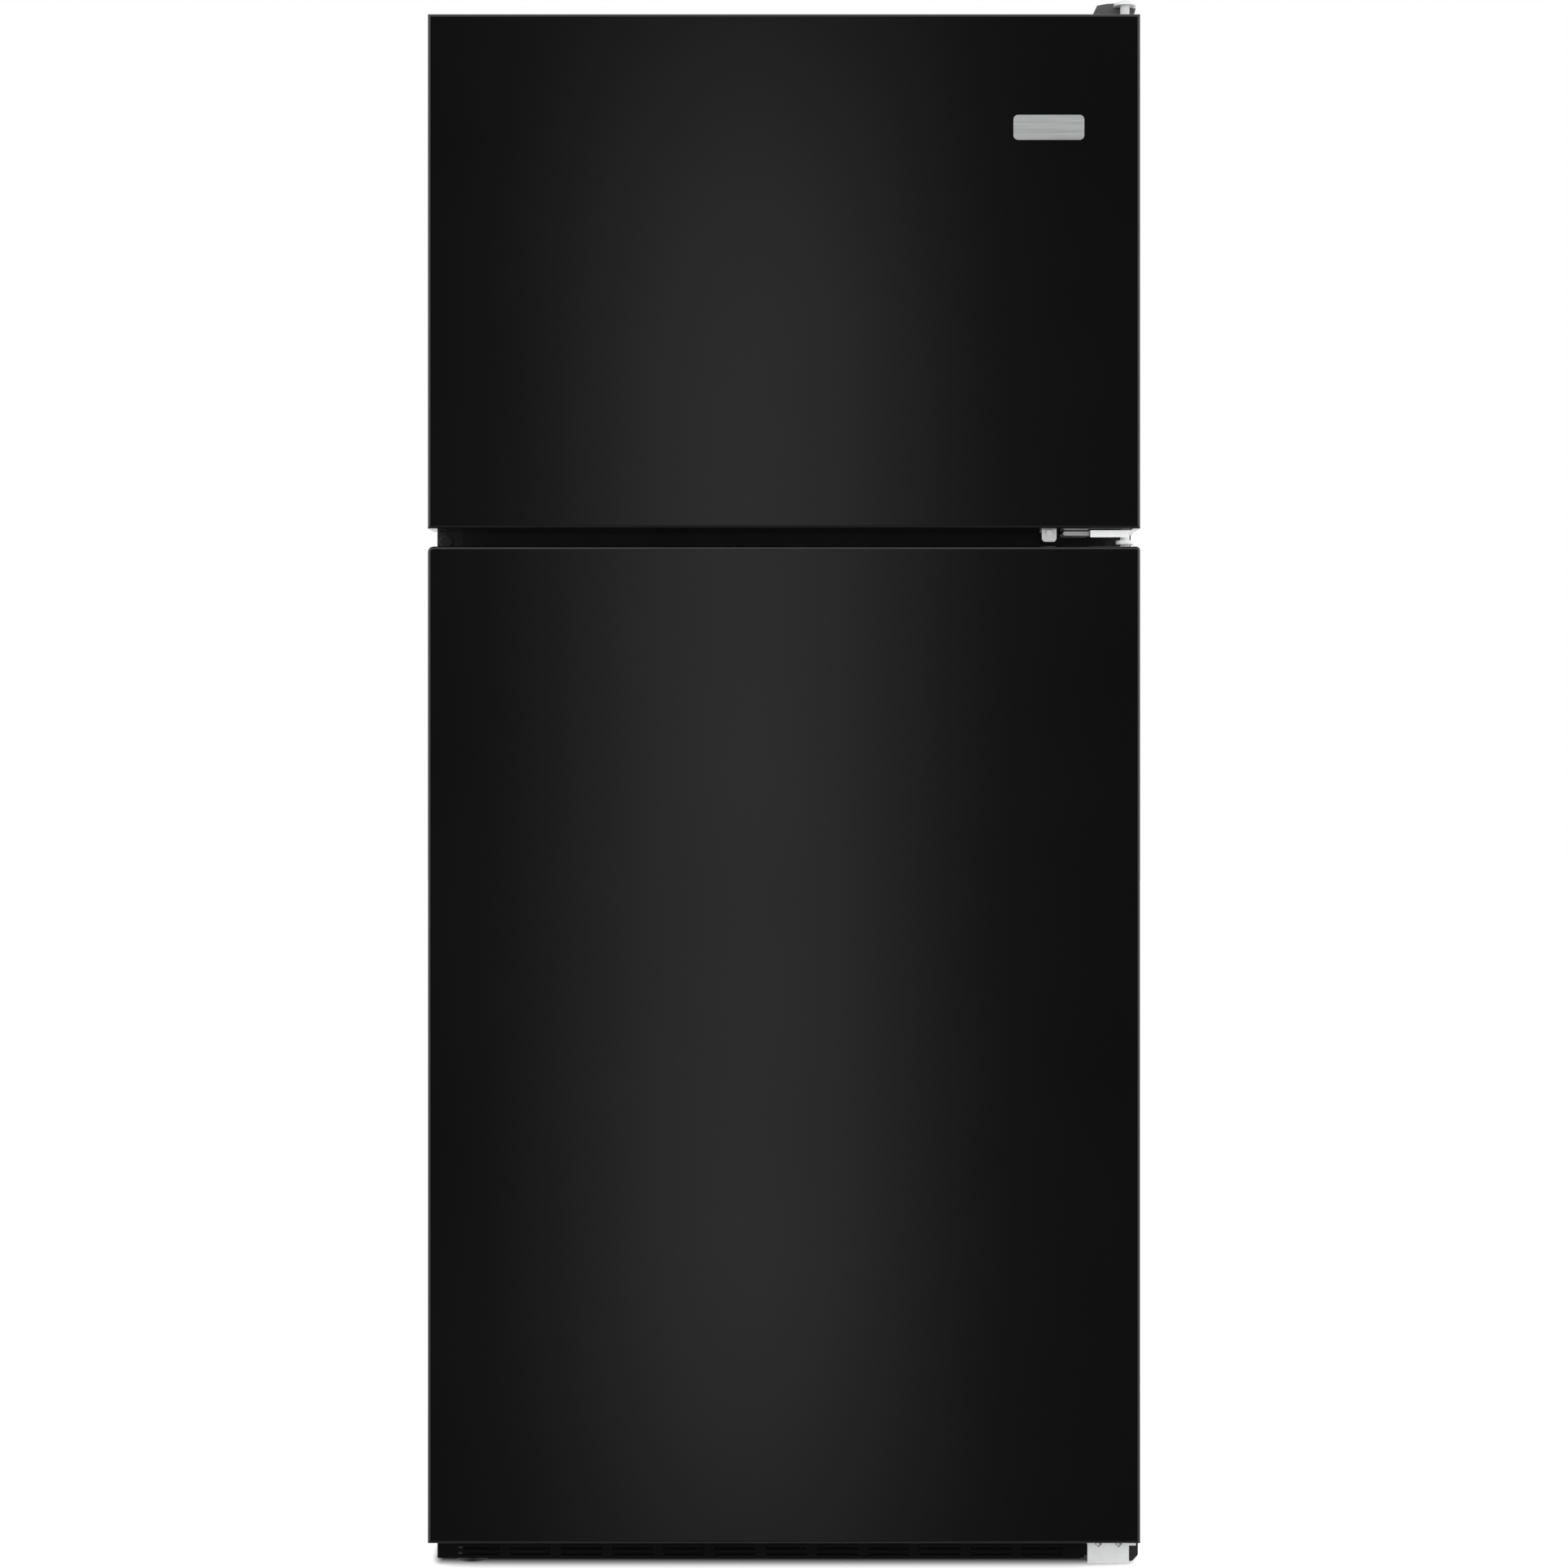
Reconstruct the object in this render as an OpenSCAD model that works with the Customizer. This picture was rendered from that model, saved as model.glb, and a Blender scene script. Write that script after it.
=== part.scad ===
// Top freezer refrigerator: an insulated steel cabinet on two levelling legs and two rollers, a freezer
// compartment over a fresh food compartment, and a door for each, hung on the right.
// Frame: +Z up, the doors face -Y, the origin is on the floor under the middle of the whole box.
// All sizes are in millimetres.

/* [Cabinet] */
// Width of the cabinet
cabinet_w = 752; // [748:1:754]
// Height of the cabinet's top above the floor
cabinet_top = 1673.2; // [1671:0.1:1674]
// Depth of the whole refrigerator
overall_d = 781; // [775:1:790]
// Thickness of the insulated side walls
wall_t = 45; // [44:1:46]

/* [Doors] */
// Width of both doors
door_w = 755.6; // [754:0.2:757]
// Thickness of a door without its gasket
door_t = 58; // [56:1:60]
// Space under the lower door
door_clearance = 42.5; // [42:0.5:43]
// Height of the lower door
fridge_door_h = 1057; // [1056:0.5:1058]
// Gap between the doors
door_gap = 19; // [18:0.5:20]
// Height of the upper door
freezer_door_h = 545.4; // [544:0.2:546]
// Radius of the doors' long front edges
door_edge_r = 4; // [3:0.5:5]

/* [Hinges] */
// Distance of the hinge axis from the door's right side
axis_inset_x = 13.8; // [13:0.1:15]
// Distance of the hinge axis behind the door's front
axis_inset_y = 25; // [24:0.5:27]
// Radius of the hinge pins
pin_r = 5; // [4:0.5:5]

/* [Interior] */
// Heights of the two adjustable shelves
shelf_z = [590, 820]; // [500:10:900]
// Height of the freezer's wire shelf
freezer_shelf_z = 1390; // [1340:10:1450]
// Floor heights of the lower door's bins
fridge_bin_z = [165, 420, 675]; // [150:5:700]
// Floor heights of the upper door's bins
freezer_bin_z = [1186, 1396]; // [1180:2:1420]

/* [Running gear] */
// Radius of the rear rollers
roller_r = 15; // [14:0.5:16]

/* [Hidden] */
$fn = 48;

sheet = 1;          // steel sheet of the cabinet and doors
liner_t = 2;        // thermoformed liner
plate_t = 3;        // bottom and centre hinge steel
top_plate_t = 2.6;  // top hinge steel
clear = 0.3;        // gap between pieces that move past each other
run_clear = 0.08;   // radial clearance of a pin in its bore
flange_w = 27;      // width of the cabinet's front flange

badge_t = 1.5;
door_front = badge_t - overall_d / 2;
door_back = door_front + door_t;
gasket_t = 13.2;
cabinet_front = door_back + gasket_t + clear;
screw_head_t = 2;
cover_t = 1.5;      // machine compartment's rear cover
shell_back = overall_d / 2 - screw_head_t - cover_t;
half_w = cabinet_w / 2;
inner_w = half_w - wall_t;   // half the width of both compartments
shell_bottom = 28;
flange_x = half_w - flange_w;

fridge_door_z = door_clearance;
fridge_door_top = fridge_door_z + fridge_door_h;
freezer_door_z = fridge_door_top + door_gap;
freezer_door_top = freezer_door_z + freezer_door_h;
gap_z = fridge_door_top + door_gap / 2;
axis_x = door_w / 2 - axis_inset_x;
axis_y = door_front + axis_inset_y;

// Compartments, as the inside faces of their liners
front_face = cabinet_front + liner_t;   // back of the rails and flanges
deck_z = 59;
machine_y = 178;
machine_top = 288;
fridge_floor = 125;
fridge_ceiling = 1066;
fridge_back = 340;
hump_y = 133;       // front of the step over the machine compartment
hump_z = 335;
freezer_floor = 1152;
freezer_ceiling = 1623;
freezer_back = 335;
rail_z = [1070, 1148];

// Door liner and what hangs on it
dyke_x = [-314, 308];
dyke_w = 22;
dyke_h = 35;
dyke_back = door_back + dyke_h;
bin_x = [dyke_x[0] + dyke_w + 1, dyke_x[1] - dyke_w - 1];
bin_depth = 100;
gasket_w = 16;
cap_lip = 5;
cap_edge_r = 3;
cap_plug = 11;
grip_z = [[freezer_door_z + 40, freezer_door_z + 310], [fridge_door_top - 310, fridge_door_top - 40]];
grip_y = [door_front + 16, door_front + 50];
grip_depth = 31;
dairy_z = [930, 1035];
dairy_x = [bin_x[0], -30];
dairy_front = -245;
lid_axis = [-248, 1029];

// Drawers
crisper_x = [[-312, -6], [6, 312]];
crisper_front = -187;
crisper_back = 118;
crisper_z = [138, 316];
rail_ledge = [309.4, 312.7];
cover_z = 345;
slider_travel = 36;

// Machine compartment and fans
tray_z = 42;
compressor_at = [190, 283];
coil_x = [-310, -110];
fan_axis = [283, 150];       // condenser fan, y and z
evap_fan = [0, 1545];        // evaporator fan, x and z
cover_screw_x = 366;
cover_screw_z = [60, 165, 270];
gland_at = [-250, 90];
gland_r = 4.5;

leg_at = [340, -290];
roller_at = [325, 345];
dial_at = [105, -115];
plunger_at = [301, 1050];

// ---------- shapes that repeat ----------

// Box between two limits on each axis
module block(x, y, z)
    translate([x[0], y[0], z[0]]) cube([x[1] - x[0], y[1] - y[0], z[1] - z[0]]);

// Upright rectangular frame: the box less a box that is w smaller on each side
module ring(x, y, z, w)
    difference() {
        block(x, y, z);
        block([x[0] + w, x[1] - w], [y[0] - 1, y[1] + 1], [z[0] + w, z[1] - w]);
    }

module rod_x(x, y, z, r) translate([x[0], y, z]) rotate([0, 90, 0]) cylinder(r = r, h = x[1] - x[0]);
module rod_y(x, y, z, r) translate([x, y[1], z]) rotate([90, 0, 0]) cylinder(r = r, h = y[1] - y[0]);
module rod_z(x, y, z, r) translate([x, y, z[0]]) cylinder(r = r, h = z[1] - z[0]);

// Outline in Y and Z, made into a slab between two X limits
module along_x(x, points)
    translate([x[0], 0, 0]) rotate([90, 0, 90]) linear_extrude(x[1] - x[0]) polygon(points);

// Hexagon head screw with a washer face, standing on z = 0 with its shank below
module hex_screw(shank = 8) {
    cylinder(r = 5, h = 0.8);
    translate([0, 0, 0.8]) cylinder(r = 4, h = screw_head_t - 0.8, $fn = 6);
    translate([0, 0, -shank]) cylinder(r = 2, h = shank);
}

// Plan outline of a door with round front corners, drawn in by inset and open-ended at back
module door_outline(inset, back) {
    r = door_edge_r - inset;
    x = door_w / 2 - inset;
    y = door_front + inset;
    translate([-x, y + r]) square([2 * x, back - y - r]);
    translate([r - x, y]) square([2 * (x - r), r + 1]);
    for (s = [-1, 1]) translate([s * (x - r), y + r]) circle(r);
}

// Open-topped tray with walls t thick
module tray(x, y, z, t)
    difference() {
        block(x, y, z);
        block([x[0] + t, x[1] - t], [y[0] + t, y[1] - t], [z[0] + t, z[1] + 1]);
    }

// Fan wheel with its axis on Z, from z = 0 up
module fan_wheel(r, hub_r, depth) {
    blade_w = 30;
    difference() {
        union() {
            cylinder(r = hub_r, h = depth);
            for (i = [0:3])
                rotate([0, 0, 90 * i]) translate([hub_r - 3, 0, depth / 2]) rotate([25, 0, 0])
                    translate([0, -blade_w / 2, -0.8]) cube([r - hub_r, blade_w, 1.6]);
        }
        translate([0, 0, -1]) cylinder(r = 2.5 + run_clear, h = depth - 2);
    }
}

// ---------- cabinet ----------

module cabinet_shell() color("#1a1a1b") {
    difference() {
        block([-half_w, half_w], [cabinet_front, shell_back], [shell_bottom, cabinet_top]);
        block([sheet - half_w, half_w - sheet], [cabinet_front - 1, shell_back + 1],
              [shell_bottom - 1, cabinet_top - sheet]);
    }
    for (s = [-1, 1]) {
        translate([s * (half_w - flange_w / 2), cabinet_front + sheet / 2, (shell_bottom + cabinet_top) / 2])
            cube([flange_w, sheet, cabinet_top - shell_bottom], center = true);
        translate([s * (half_w - 8), shell_back - sheet / 2, (shell_bottom + cabinet_top) / 2])
            cube([16, sheet, cabinet_top - shell_bottom], center = true);
    }
    block([-half_w, half_w], [cabinet_front, cabinet_front + sheet], [cabinet_top - flange_w, cabinet_top]);
    block([-half_w, half_w], [shell_back - sheet, shell_back], [cabinet_top - 16, cabinet_top]);
}

// Rear sheet with shallow upright stiffening ribs pressed into it
module back_panel() color("#7d8083") {
    rib_w = 40;
    block([8 - half_w, half_w - 8], [shell_back, shell_back + sheet], [machine_top + 4, cabinet_top - 6]);
    for (x = [-240:120:240])
        block([x - rib_w / 2, x + rib_w / 2], [shell_back + sheet, shell_back + 2 * sheet],
              [machine_top + 60, cabinet_top - 60]);
}

// Outline of the fresh food compartment in Y and Z, grown by t on every closed side
function fridge_outline(t) = [
    [cabinet_front, fridge_floor - t], [hump_y + t, fridge_floor - t], [hump_y + t, hump_z - 45 - 0.4 * t],
    [hump_y + 42 + 0.4 * t, hump_z - t], [fridge_back + t, hump_z - t], [fridge_back + t, fridge_ceiling + t],
    [cabinet_front, fridge_ceiling + t]
];

module cabinet_foam() color("#e6d9a8")
    difference() {
        along_x([sheet - half_w, half_w - sheet], [
            [front_face, deck_z], [machine_y, deck_z], [machine_y, machine_top],
            [shell_back - sheet, machine_top], [shell_back - sheet, cabinet_top - sheet],
            [front_face, cabinet_top - sheet]
        ]);
        along_x([-inner_w - liner_t, inner_w + liner_t], fridge_outline(liner_t));
        block([-inner_w - liner_t, inner_w + liner_t], [cabinet_front, freezer_back + liner_t],
              [freezer_floor - liner_t, freezer_ceiling + liner_t]);
    }

// Shelf ledges moulded into the side walls
module ledges(y, z)
    for (s = [-1, 1])
        translate([s * (inner_w - 5), (y[0] + y[1]) / 2, z - 3])
            cube([10.4, y[1] - y[0], 6], center = true);

module freezer_liner() color("#f2f3f4") {
    difference() {
        block([-inner_w - liner_t, inner_w + liner_t], [cabinet_front, freezer_back + liner_t],
              [freezer_floor - liner_t, freezer_ceiling + liner_t]);
        block([-inner_w, inner_w], [cabinet_front - 1, freezer_back], [freezer_floor, freezer_ceiling]);
    }
    difference() {
        block([0.2 - flange_x, flange_x - 0.2], [cabinet_front, front_face],
              [rail_z[1] + 0.2, cabinet_top - flange_w - 0.2]);
        block([-inner_w, inner_w], [cabinet_front - 1, front_face + 1], [freezer_floor, freezer_ceiling]);
    }
    ledges([-225, 245], freezer_shelf_z - 0.2);
}

module fridge_liner() color("#f2f3f4") {
    difference() {
        along_x([-inner_w - liner_t, inner_w + liner_t], fridge_outline(liner_t));
        along_x([-inner_w, inner_w], concat([for (i = [1:5]) fridge_outline(0)[i]],
                [[cabinet_front - 1, fridge_ceiling], [cabinet_front - 1, fridge_floor]]));
    }
    difference() {
        block([0.2 - flange_x, flange_x - 0.2], [cabinet_front, front_face], [107.2, rail_z[0] - 0.2]);
        block([-inner_w, inner_w], [cabinet_front - 1, front_face + 1], [fridge_floor, fridge_ceiling]);
    }
    for (z = shelf_z) ledges([-180, 290], z - 0.2);
    for (y = [[-180, -166], [120, 325]]) ledges(y, cover_z - 0.2);
}

// Front rail between the two compartments
module center_rail() color("#141415")
    block([0.2 - flange_x, flange_x - 0.2], [cabinet_front, front_face], rail_z);

// Welded base: bottom front rail, leg plate, deck, the step over the machine compartment and its tray
module base_frame() color("#303234") {
    t = 2;
    block([0.2 - flange_x, flange_x - 0.2], [cabinet_front, front_face], [10, 107]);
    difference() {
        union() {
            block([-374.8, 374.8], [front_face, -235], [shell_bottom, shell_bottom + t]);
            block([-374.8, 374.8], [-235 - t, -235], [shell_bottom, deck_z - t]);
        }
        for (s = [-1, 1]) rod_z(s * leg_at[0], leg_at[1], [0, 50], 5 + run_clear);
    }
    block([-374.8, 374.8], [front_face, machine_y + t], [deck_z - t, deck_z]);
    block([-374.8, 374.8], [machine_y, machine_y + t], [tray_z - t, machine_top]);
    block([-374.8, 374.8], [machine_y, shell_back - sheet], [machine_top - t, machine_top]);
    block([-374.8, 374.8], [machine_y, shell_back - sheet], [tray_z - t, tray_z]);
}

// Louvred toe grille under the lower door
module base_grille() color("#121213")
    difference() {
        union() {
            block([-372.5, 322.7], [-345.5, -343], [15, 40]);
            block([-372.5, 322.7], [-345.5, cabinet_front], [37.8, 40]);
            block([-372.5, -370], [-345.5, cabinet_front], [15, 40]);
            block([320.2, 322.7], [-345.5, cabinet_front], [15, 40]);
        }
        for (x = [-350:55:255], z = [18.5, 24.5, 30.5])
            block([x, x + 45], [-350, -340], [z, z + 3]);
    }

module hinge_hole_plugs() color("#232324") {
    rod_y(-366.5, [cabinet_front - 2.5, cabinet_front], gap_z, 7);
    for (p = [[-352, -262], [-366, -262], [-359, -285]])
        rod_z(p[0], p[1], [cabinet_top, cabinet_top + 1.6], 5);
}

// ---------- hinges ----------

top_screws = [[354, -256], [366, -256], [360, -282]];
center_screws = [341, 364];
bottom_screws = [342, 362];

// Cranked plate on the cabinet's top, with the pin that the upper door turns on
module top_hinge() color("#eceeef") {
    low = cabinet_top;
    high = cabinet_top + 4.2;
    t = top_plate_t;
    difference() {
        intersection() {
            along_x([340, 380], [
                [-240, low], [-300, low], [-318, high], [-390, high],
                [-390, high + t], [-319, high + t], [-301, low + t], [-240, low + t]
            ]);
            translate([0, 0, low - 5]) linear_extrude(20) {
                translate([axis_x - 11.5, axis_y]) square([20.5, -240 - axis_y]);
                translate([348, -300]) square([24, 60]);
                translate([axis_x, axis_y]) circle(11.5);
            }
        }
        for (p = top_screws) rod_z(p[0], p[1], [low - 1, low + 5], 2.2);
    }
    rod_z(axis_x, axis_y, [freezer_door_top - 10, high + 1], pin_r);
    translate([axis_x, axis_y, high + t]) cylinder(r = 6, h = 2.8, $fn = 6);
}

// Moulded cover over the hinge plate, open at the front where the plate comes out
module top_hinge_cover() color("#5a5d5d")
    difference() {
        translate([0, -236, 0]) rotate([90, 0, 0]) linear_extrude(122.7)
            polygon([
                [328, 1665.4], [335, 1680], [345, 1681.8], [362, 1682.8],
                [373, 1682], [376.5, 1677.5], [373.5, 1665.4]
            ]);
        block([320, 380], [cabinet_front - 2, -200], [1600, cabinet_top + 0.1]);
        block([345, 374], [-352, -238.5], [1600, 1680.4]);
        block([axis_x - 12, axis_x + 12], [-360, -350], [cabinet_top + 3.9, 1680.4]);
        rod_z(axis_x, axis_y, [1660, 1690], pin_r + 1.2);
    }

// Plate between the doors with a turned-down front lip, screwed to the centre rail. It carries a pin
// up into the upper door and a pin down into the lower one, and its short arm stops the upper door.
module center_hinge() color("#eceeef") {
    z = freezer_door_z - 4;
    t = 2.8;
    difference() {
        union() {
            block([326, 372.8], [-377, cabinet_front], [z, z + t]);
            block([326, 367.5], [-377, -377 + t], [z - 4.6, z + 1]);
            block([301.5, 327], [-352, cabinet_front], [z - 1.2, z + 3.3]);
            rod_y(301.5, [-352, cabinet_front], z + 1.05, 2.25);
            block([333, 372.8], [cabinet_front - plate_t, cabinet_front], [z, z + 15]);
        }
        for (x = center_screws) rod_y(x, [-330, -310], z + 9.2, 2.2);
    }
    rod_z(axis_x, axis_y, [fridge_door_top - 11, freezer_door_z + 11], pin_r);
    rod_z(axis_x, axis_y, [fridge_door_top + 3.2, fridge_door_top + 7.4], 9.7);
}

// Channel-shaped bracket under the lower door: the front flange has two notches in its top edge
module bottom_hinge() color("#cfd1d3") {
    top = door_clearance - 2.5;
    difference() {
        union() {
            block([323, 374.5], [-375.5, cabinet_front], [top - plate_t, top]);
            block([323, 367], [-375.5, -375.5 + plate_t], [18, top]);
            block([332, 374.5], [cabinet_front - plate_t, cabinet_front], [8, top]);
        }
        for (x = [334.5, 356])
            translate([x, -370, top - 1]) rotate([90, 45, 0]) cube([5.6, 5.6, 20], center = true);
        for (x = bottom_screws) rod_y(x, [-330, -310], 31.8, 2.2);
    }
    rod_z(axis_x, axis_y, [top - 1, door_clearance + 11], pin_r);
    rod_z(axis_x, axis_y, [top - 1, door_clearance - 0.2], 9.5);
}

// Moulded cover over the outer side of the bottom hinge
module bottom_hinge_side_cover() color("#1c1d1e")
    difference() {
        translate([0, cabinet_front - plate_t - 0.2, 0]) rotate([90, 0, 0]) linear_extrude(52.8)
            polygon([[367.6, 20], [371, 20.4], [376.8, 26.5], [376.8, 39], [375, 39], [375, 36],
                     [367.6, 36]]);
        block([366, 374.8], [-371, -310], [22.5, 37]);
    }

module hex_screws() color("#c9cccd") {
    for (p = top_screws) translate([p[0], p[1], cabinet_top + top_plate_t]) hex_screw();
    for (x = center_screws)
        translate([x, cabinet_front - plate_t, freezer_door_z + 5.2]) rotate([90, 0, 0]) hex_screw(5);
    for (x = bottom_screws) translate([x, cabinet_front - plate_t, 31.8]) rotate([90, 0, 0]) hex_screw(5);
    for (s = [-1, 1], z = cover_screw_z)
        translate([s * cover_screw_x, shell_back + cover_t, z]) rotate([-90, 0, 0]) hex_screw(5);
}

// ---------- running gear ----------

// Two forks under the tray, each with the axle that its roller turns on
module roller_brackets() color("#8c8f91")
    for (s = [-1, 1]) {
        for (d = [-13, 11])
            block([s * roller_at[0] + d, s * roller_at[0] + d + 2], [roller_at[1] - 13, roller_at[1] + 13],
                  [6, tray_z - 2]);
        rod_x([s * roller_at[0] - 14, s * roller_at[0] + 14], roller_at[1], roller_r, 4);
    }

module roller(s) color("#2c2d2e")
    difference() {
        rod_x([s * roller_at[0] - 10.5, s * roller_at[0] + 10.5], roller_at[1], roller_r, roller_r);
        rod_x([s * roller_at[0] - 20, s * roller_at[0] + 20], roller_at[1], roller_r, 4 + run_clear);
    }

module left_roller() roller(-1);
module right_roller() roller(1);

module leveling_leg(s) color("#26282a") {
    rod_z(s * leg_at[0], leg_at[1], [0, 6], 17);
    translate([s * leg_at[0], leg_at[1], 6]) cylinder(r = 12, h = 8, $fn = 6);
    rod_z(s * leg_at[0], leg_at[1], [14, 45], 5);
}

module left_leveling_leg() leveling_leg(-1);
module right_leveling_leg() leveling_leg(1);

// ---------- machine compartment ----------

// Slotted cover over the rear of the machine compartment, with the opening for the cord's grommet
module machine_cover() color("#3a3c3e")
    difference() {
        block([4 - half_w, half_w - 4], [shell_back, shell_back + cover_t], [38, machine_top + 3]);
        for (x = [-300:24:-84], z = [120, 190]) block([x, x + 8], [380, 400], [z, z + 50]);
        for (x = [60:24:300]) block([x, x + 8], [380, 400], [150, 230]);
        rod_y(gland_at[0], [380, 400], gland_at[1], 8);
        for (s = [-1, 1], z = cover_screw_z) rod_y(s * cover_screw_x, [380, 400], z, 2.2);
    }

module cord_grommet() color("#101011")
    difference() {
        union() {
            rod_y(gland_at[0], [shell_back - 4, shell_back + cover_t + 1.8], gland_at[1], 7.9);
            rod_y(gland_at[0], [shell_back + cover_t, shell_back + cover_t + 1.8], gland_at[1], 11);
            rod_y(gland_at[0], [shell_back - 4, shell_back - 0.1], gland_at[1], 11);
        }
        rod_y(gland_at[0], [370, 400], gland_at[1], gland_r);
    }

module compressor() color("#18191b") translate([compressor_at[0], compressor_at[1], 0]) {
    dome_r = 110;
    body_r = 78;
    shoulder = 150;
    rod_z(0, 0, [58, shoulder], body_r);
    intersection() {
        translate([0, 0, shoulder - sqrt(dome_r * dome_r - body_r * body_r)]) sphere(dome_r);
        rod_z(0, 0, [shoulder - 1, shoulder + 60], body_r);
    }
    rod_z(0, 0, [104, 109], body_r + 3);
    block([-98, 98], [-62, 62], [52, 59]);
    for (x = [-84, 84], y = [-48, 48]) rod_z(x, y, [tray_z, 53], 10);
    block([-30, 30], [-93, -70], [75, 135]);
    rod_z(50, 30, [140, 200], 4);
    rod_z(-45, 35, [140, 190], 3);
}

// Two flat serpentines of tube, one over the other
module condenser_coil() color("#1f2021") {
    pitch = 24;
    r = 2.8;
    runs = 7;
    for (z = [120, 165]) {
        for (i = [0:runs - 1]) rod_x(coil_x, 205 + i * pitch, z, r);
        for (i = [0:runs - 2])
            translate([coil_x[(i + 1) % 2], 205 + (i + 0.5) * pitch, z])
                rotate([0, 0, i % 2 == 0 ? -90 : 90]) rotate_extrude(angle = 180)
                    translate([pitch / 2, 0]) circle(r);
    }
    for (x = coil_x) block([x - 1, x + 1], [200, 354], [tray_z + 2.4, 172]);
}

module drain_pan() color("#2a2b2d") tray([-345, -75], [192, 372], [tray_z + 0.2, tray_z + 22], 2);

// Motors of both fans with their holding plates and shafts
module fan_motors() color("#4a4d50") {
    rod_x([-30, 4], fan_axis[0], fan_axis[1], 22);
    block([-22, -18], [fan_axis[0] - 30, fan_axis[0] + 30], [tray_z, fan_axis[1]]);
    rod_x([-46, -25], fan_axis[0], fan_axis[1], 2.5);
    rod_y(evap_fan[0], [302, 330], evap_fan[1], 22);
    block([evap_fan[0] - 40, evap_fan[0] + 40], [330, freezer_back - 0.2],
          [evap_fan[1] - 30, evap_fan[1] + 30]);
    rod_y(evap_fan[0], [284, 305], evap_fan[1], 2.5);
}

module condenser_fan_blade() color("#3c3f42")
    translate([-38, fan_axis[0], fan_axis[1]]) rotate([0, -90, 0]) fan_wheel(64, 14, 16);

module evaporator_fan_blade() color("#3c3f42")
    translate([evap_fan[0], 292, evap_fan[1]]) rotate([90, 0, 0]) fan_wheel(56, 14, 14);

// ---------- freezer interior ----------

module evaporator_cover() color("#eef0f1")
    difference() {
        block([0.5 - inner_w, inner_w - 0.5], [262, 264.5], [freezer_floor + 0.3, freezer_ceiling - 0.3]);
        for (x = [-280:40:270]) block([x, x + 22], [255, 270], [freezer_floor + 14, freezer_floor + 22]);
        for (i = [-3:3])
            block([-sqrt(2500 - 225 * i * i), sqrt(2500 - 225 * i * i)], [255, 270],
                  [evap_fan[1] + 15 * i - 3.5, evap_fan[1] + 15 * i + 3.5]);
    }

// Aluminium fins on a serpentine of tube behind the freezer's rear cover
module evaporator_coil() color("#b9bdbf") {
    for (x = [-232:16:232]) block([x - 0.5, x + 0.5], [274, 326], [1190, 1420]);
    for (x = [-250, 250]) block([x - 1, x + 1], [270, freezer_back - 0.2], [1190, 1420]);
    for (z = [1215:45:1395]) rod_x([-262, 262], 300, z, 4.5);
    for (i = [0:3])
        translate([i % 2 == 0 ? 262 : -262, 300, 1215 + 45 * (i + 0.5)])
            rotate([90, i % 2 == 0 ? 90 : -90, 0]) rotate_extrude(angle = 180)
                translate([22.5, 0]) circle(4.5);
}

// Coated wire shelf: fine wires front to back on three cross wires
module freezer_shelf() color("#e9ebec") {
    for (y = [-215, 10, 235]) rod_x([-329, 329], y, freezer_shelf_z + 3.2, 3);
    for (x = [-310:31:310]) rod_y(x, [-218, 238], freezer_shelf_z + 6.8, 1.8);
}

// ---------- fresh food interior ----------

shelf_y = [-200, 300];

module shelf_frames() color("#e4e7e9")
    for (z = shelf_z)
        difference() {
            block([-328, 328], shelf_y, [z, z + 15]);
            block([-310, 310], [shelf_y[0] + 18, shelf_y[1] - 18], [z - 1, z + 20]);
            block([-316, 316], [shelf_y[0] + 12, shelf_y[1] - 12], [z + 9, z + 20]);
        }

module shelf_glass() color("#bcd3cf", 0.5) {
    for (z = shelf_z) block([-315.5, 315.5], [shelf_y[0] + 12.5, shelf_y[1] - 12.5], [z + 9.1, z + 13]);
    block([-315.5, 315.5], [-167.5, 317.5], [cover_z + 6.1, cover_z + 10]);
}

// Frame over the crispers, with the ledges that their lips slide on moulded under it
module crisper_cover_frame() color("#e4e7e9") {
    difference() {
        block([-330.5, 330.5], [-180, 330], [cover_z, cover_z + 12]);
        block([-310, 310], [-162, 312], [cover_z - 1, cover_z + 20]);
        block([-316, 316], [-168, 318], [cover_z + 6, cover_z + 20]);
    }
    for (s = [-1, 1]) {
        translate([s * 329.25, -23, 328.5]) cube([2.5, 280, 36], center = true);
        translate([s * 318.25, -23, 311.05]) cube([24.5, 280, 3.3], center = true);
    }
    block([-2.5, 2.5], [-163, 117], [rail_ledge[0], cover_z + 6]);
    block([-13.6, 13.6], [-163, 117], rail_ledge);
    block([-12, 12], [-163, 312], [cover_z, cover_z + 6]);
}

// Clear drawer with a thick front, a finger pull and lips that slide on the cover's ledges
module crisper(x) color("#dfe8ea", 0.6) {
    mid = (x[0] + x[1]) / 2;
    difference() {
        union() {
            block([x[0] + 8, x[1] - 8], [crisper_front + 12, crisper_back], crisper_z);
            block(x, [crisper_front, crisper_front + 14], [crisper_z[0] - 2, crisper_z[1] + 6]);
            for (e = [x[0] + 1, x[1] - 9])
                block([e, e + 8], [-163, crisper_back - 1], [rail_ledge[1] + clear, crisper_z[1]]);
        }
        block([x[0] + 10.5, x[1] - 10.5], [crisper_front + 14, crisper_back - 2.5],
              [crisper_z[0] + 2.5, crisper_z[1] + 10]);
        block([mid - 70, mid + 70], [crisper_front - 1, crisper_front + 9], [262, 288]);
        block([mid - 30, mid + 30], [crisper_front - 1, crisper_front + 5], [298, 312]);
    }
}

module left_crisper() crisper(crisper_x[0]);
module right_crisper() crisper(crisper_x[1]);

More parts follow.
